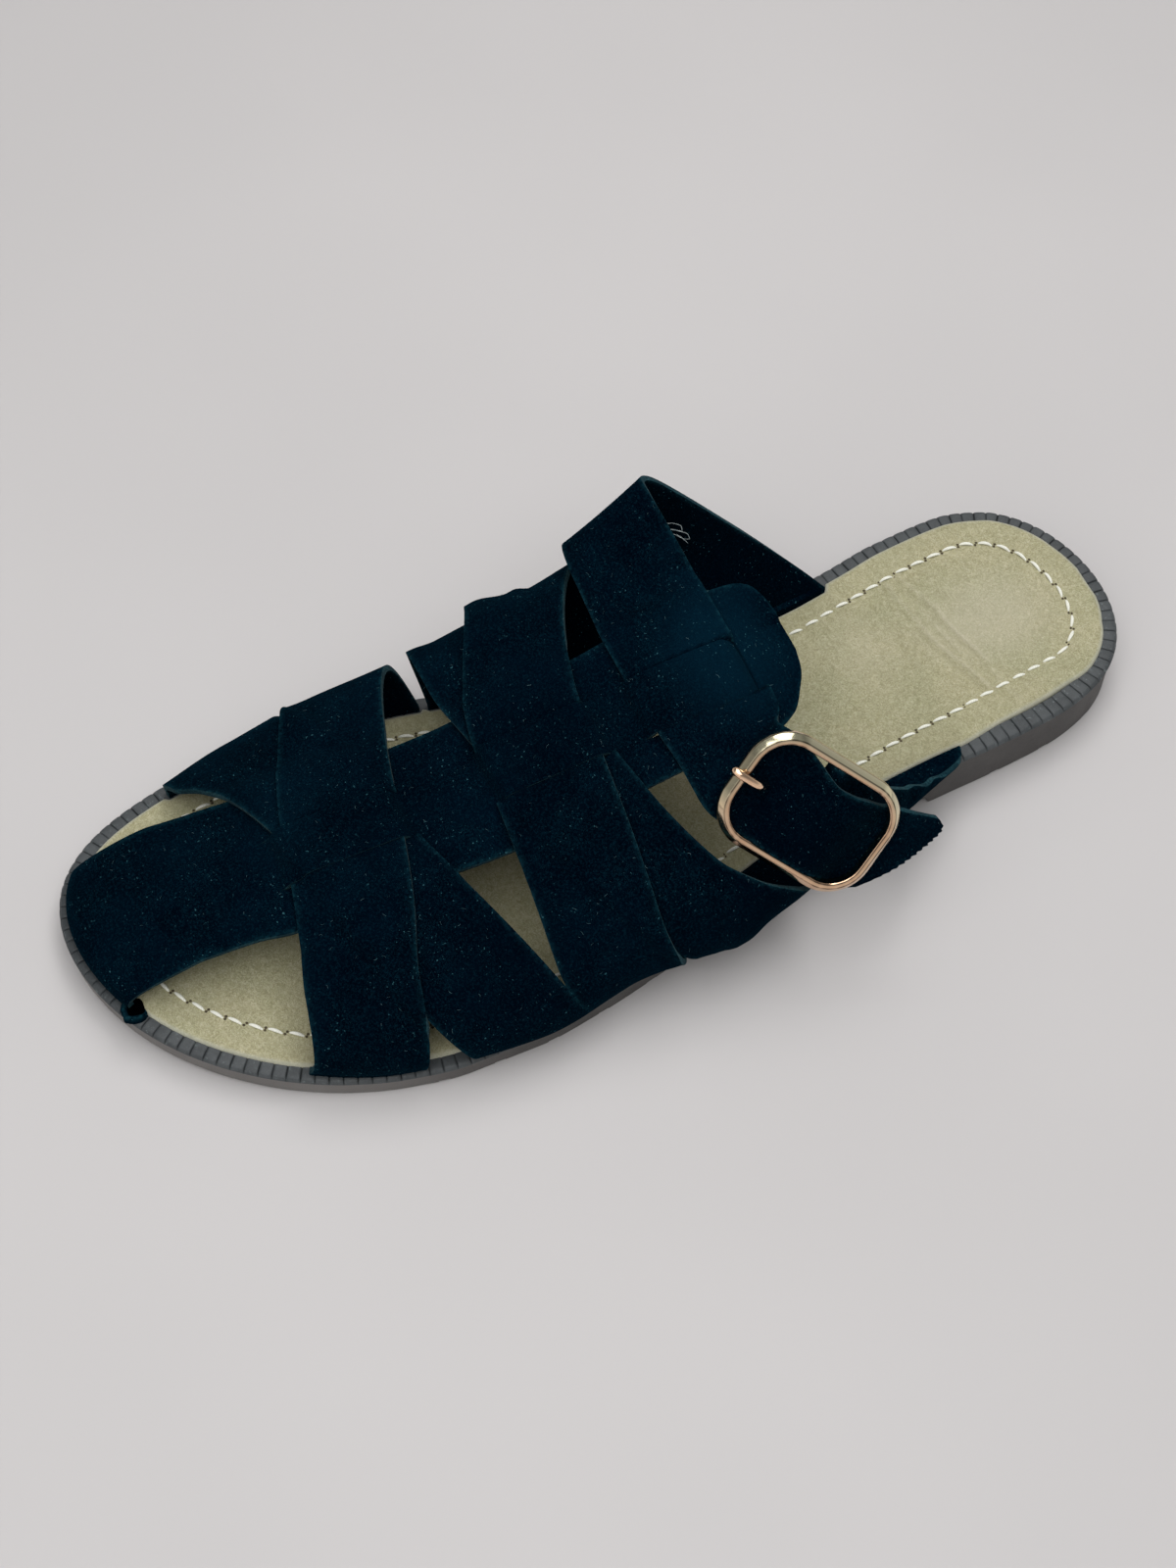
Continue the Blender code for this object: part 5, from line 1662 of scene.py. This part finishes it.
def buckle_matrix():
    """From the buckle's own axes to the world."""
    along, across, up = buckle_axes()
    turn = Matrix((along, across, up)).transposed().to_4x4()
    return Matrix.Translation(world_points(FRAME_CENTRE)) @ turn


def rounded(corners, radius):
    """Closed outline with each corner turned into an arc of ARC_POINTS points."""
    points = []
    count = len(corners)
    for i in range(count):
        corner = Vector(corners[i])
        before = (Vector(corners[i - 1]) - corner).normalized() * radius
        after = (Vector(corners[(i + 1) % count]) - corner).normalized() * radius
        for t in np.linspace(0.0, 1.0, ARC_POINTS):
            points.append(tuple(corner + before * (1 - t) ** 2 + after * t * t))
    return points


def frame_path():
    """The frame's middle line and its outward directions: x, y, outward x, outward y."""
    inset = FRAME_SECTION[4][0]
    corner = FRAME_CORNER - inset
    path = []
    for quarter, (sx, sy) in enumerate(((1, 1), (-1, 1), (-1, -1), (1, -1))):
        for turn in np.linspace(0, math.pi / 2, 17):
            ox = math.cos(quarter * math.pi / 2 + turn)
            oy = math.sin(quarter * math.pi / 2 + turn)
            x = sx * (FRAME_LONG / 2 - inset - corner) + corner * ox
            y = sy * (FRAME_WIDE / 2 - inset - corner) + corner * oy
            path.append((x, y, ox, oy))
    return path


def make_frame(metal):
    """Cast frame with a flat face, a sloping outer bevel and a centre bar."""
    path = frame_path()
    section = rounded(FRAME_SECTION, FRAME_ROUND)
    corner_dark_reflection = np.repeat(FRAME_DARK_REFLECTIONS, ARC_POINTS)
    corner_dark_reflection *= np.tile((0.25, 0.8, 1.0, 0.8, 0.25), len(FRAME_SECTION))
    bevel = np.repeat(FRAME_BEVEL_GLINTS, ARC_POINTS)
    bevel[17:23] = 1.0
    # Painted reflections: dark lines along the section's corners, and a pale glint on the bevel
    # where it faces the light.
    verts, lines, bevel_glints = [], [], []
    for x, y, ox, oy in path:
        facing_light = float(np.clip(0.55 - 0.30 * ox + 0.75 * oy, 0.0, 1.0))
        verts += [(x + ox * outward, y + oy * outward, height) for outward, height in section]
        lines += list(corner_dark_reflection * (0.55 + 0.45 * abs(math.sin(2.3 * x + 1.7 * y))))
        bevel_glints += list(bevel * facing_light)
    faces = grid_faces(len(path), len(section), closed=True, looped=True)
    half = FRAME_WIDE / 2 - FRAME_SECTION[4][0]
    line = [(0.0, y, -BAR_DROP) for y in np.linspace(-half, half, 9)]
    add_tube(verts, faces, line, [BAR_RADIUS] * 9, 20)
    obj = mesh_object("buckle_frame_cast", np.array(verts) * MM, faces)
    bar = [0.0] * (len(verts) - len(lines))
    facing_out(mark(obj, line=lines + bar, pale=bevel_glints + bar))
    obj.data.transform(buckle_matrix())
    return finish(obj, (metal,), ["buckle_frame"], 40)


def make_prong(metal):
    """Round prong with a blunt, slightly flattened tip."""
    line = route([(along, 0.0, up) for along, up in PRONG], 60)
    radii = np.full(60, PRONG_RADIUS)
    radii[-3:] = PRONG_RADIUS * np.array([0.96, 0.85, 0.55])
    radii[:3] = PRONG_RADIUS * np.array([0.5, 0.85, 0.97])
    verts, faces = [], []
    add_tube(verts, faces, line, radii, 20, up=(0, 1.0, 0))
    obj = facing_out(mesh_object("buckle_prong_wire", np.array(verts) * MM, faces))
    obj.data.transform(buckle_matrix())
    return finish(obj, (metal,), ["buckle_prong"])


# --- room ---


def make_floor():
    """Plain pale floor."""
    size = 3.0
    verts = [(-size, -size, 0), (size, -size, 0), (size, size, 0), (-size, size, 0)]
    floor = mesh_object("studio_floor", verts, [(0, 1, 2, 3)])
    m = Shade("pale_paper_floor")
    cloud = m.patches(180.0, detail=2.0, rough=0.5)
    m.base = m.mix(cloud, (0.580, 0.568, 0.572), (0.605, 0.592, 0.596))
    add_materials(floor, (m.done(Roughness=0.85, Specular_IOR_Level=0.15),))


def make_light(name, place, aim_height, size, power, colour):
    """Square soft light at a place, turned to a point above the middle of the floor."""
    light = bpy.data.lights.new(name, "AREA")
    light.shape = "RECTANGLE"
    light.size = light.size_y = size
    light.energy = power
    light.color = colour
    obj = new_object(name, light)
    obj.location = Vector(place) * MM
    direction = Vector((0, 0, aim_height)) * MM - obj.location
    obj.rotation_euler = direction.to_track_quat("-Z", "Y").to_euler()


def make_world():
    """Soft surroundings: paler at the sides and low down than overhead."""
    world = bpy.data.worlds.new("studio")
    bpy.context.scene.world = world
    world.use_nodes = True
    nodes, links = world.node_tree.nodes, world.node_tree.links
    background = nodes["Background"]
    coordinates = nodes.new("ShaderNodeTexCoord")
    split = nodes.new("ShaderNodeSeparateXYZ")
    ramp = nodes.new("ShaderNodeValToRGB")
    links.new(coordinates.outputs["Generated"], split.inputs[0])
    links.new(split.outputs["Z"], ramp.inputs[0])
    for level in WORLD_LEVELS[1:3]:
        ramp.color_ramp.elements.new(level[0])
    for element, level in zip(ramp.color_ramp.elements, WORLD_LEVELS):
        element.position = level[0]
        element.color = (*level[1:], 1.0)
    links.new(ramp.outputs[0], background.inputs["Color"])
    background.inputs["Strength"].default_value = 0.8


def make_camera():
    """Camera at the photo's angle."""
    camera = new_object("camera", bpy.data.cameras.new("camera"))
    camera.data.lens = CAMERA_LENS
    camera.data.sensor_width = 36.0
    camera.data.sensor_fit = "HORIZONTAL"
    camera.data.clip_start = 0.01
    camera.location = Vector(CAMERA_AT) * MM
    back = (Vector(CAMERA_AT) - Vector(CAMERA_AIM)).normalized()
    roll = Matrix.Rotation(math.radians(CAMERA_ROLL), 3, "Z")
    camera.rotation_euler = (back.to_track_quat("Z", "Y").to_matrix() @ roll).to_euler()
    bpy.context.scene.camera = camera


def main():
    """Build the room, then the shoe from the sole up."""
    bpy.context.scene.view_settings.view_transform = "Standard"
    make_camera()
    make_world()
    for light in LIGHTS:
        make_light(*light)
    make_floor()
    suede = suede_material()
    finishes = suede, cut_edge_material()
    make_outsole(sole_material())
    make_welt(welt_material())
    make_footbed(nubuck_material())
    # Dark brown tones of the painted shade in the needle holes.
    hole_shade = plain_material("needle_hole_painted_shade", (0.05, 0.04, 0.025), (0.09, 0.07, 0.04), 0.5)
    make_stitches(thread_material(), hole_shade)
    crossings = (
        ("front_under_strap", FRONT_UNDER, None, FRONT_OVER, ()),
        ("front_over_strap", FRONT_OVER, FRONT_UNDER, None, FRONT_FLARES),
        ("rear_under_strap", REAR_UNDER, None, REAR_OVER, REAR_UNDER_FLARES),
        ("rear_over_strap", REAR_OVER, REAR_UNDER, None, REAR_OVER_FLARES),
    )
    straps = [make_crossing(*crossing, finishes) for crossing in crossings]
    straps += [make_vamp(finishes), make_instep(finishes), make_carrier(finishes)]
    paint_strap_light_and_shade(straps)
    # Near-black tones of the painted shadow on the floor of the hole at the toe.
    dark = (0.0001, 0.0002, 0.0004), (0.0002, 0.0005, 0.0009)
    make_corner_tuck((suede, plain_material("tuck_hole_painted_shadow", *dark, 1.0, 1.0, 0.0)))
    pale = (0.014, 0.050, 0.066), (0.110, 0.210, 0.240)
    make_lint(straps, plain_material("pale_lint", *pale, 2.0))
    grey = (0.16, 0.20, 0.21), (0.34, 0.38, 0.38)
    make_threads(plain_material("grey_thread_ends", *grey, 1.0))
    metal = metal_material()
    make_frame(metal)
    make_prong(metal)


main()
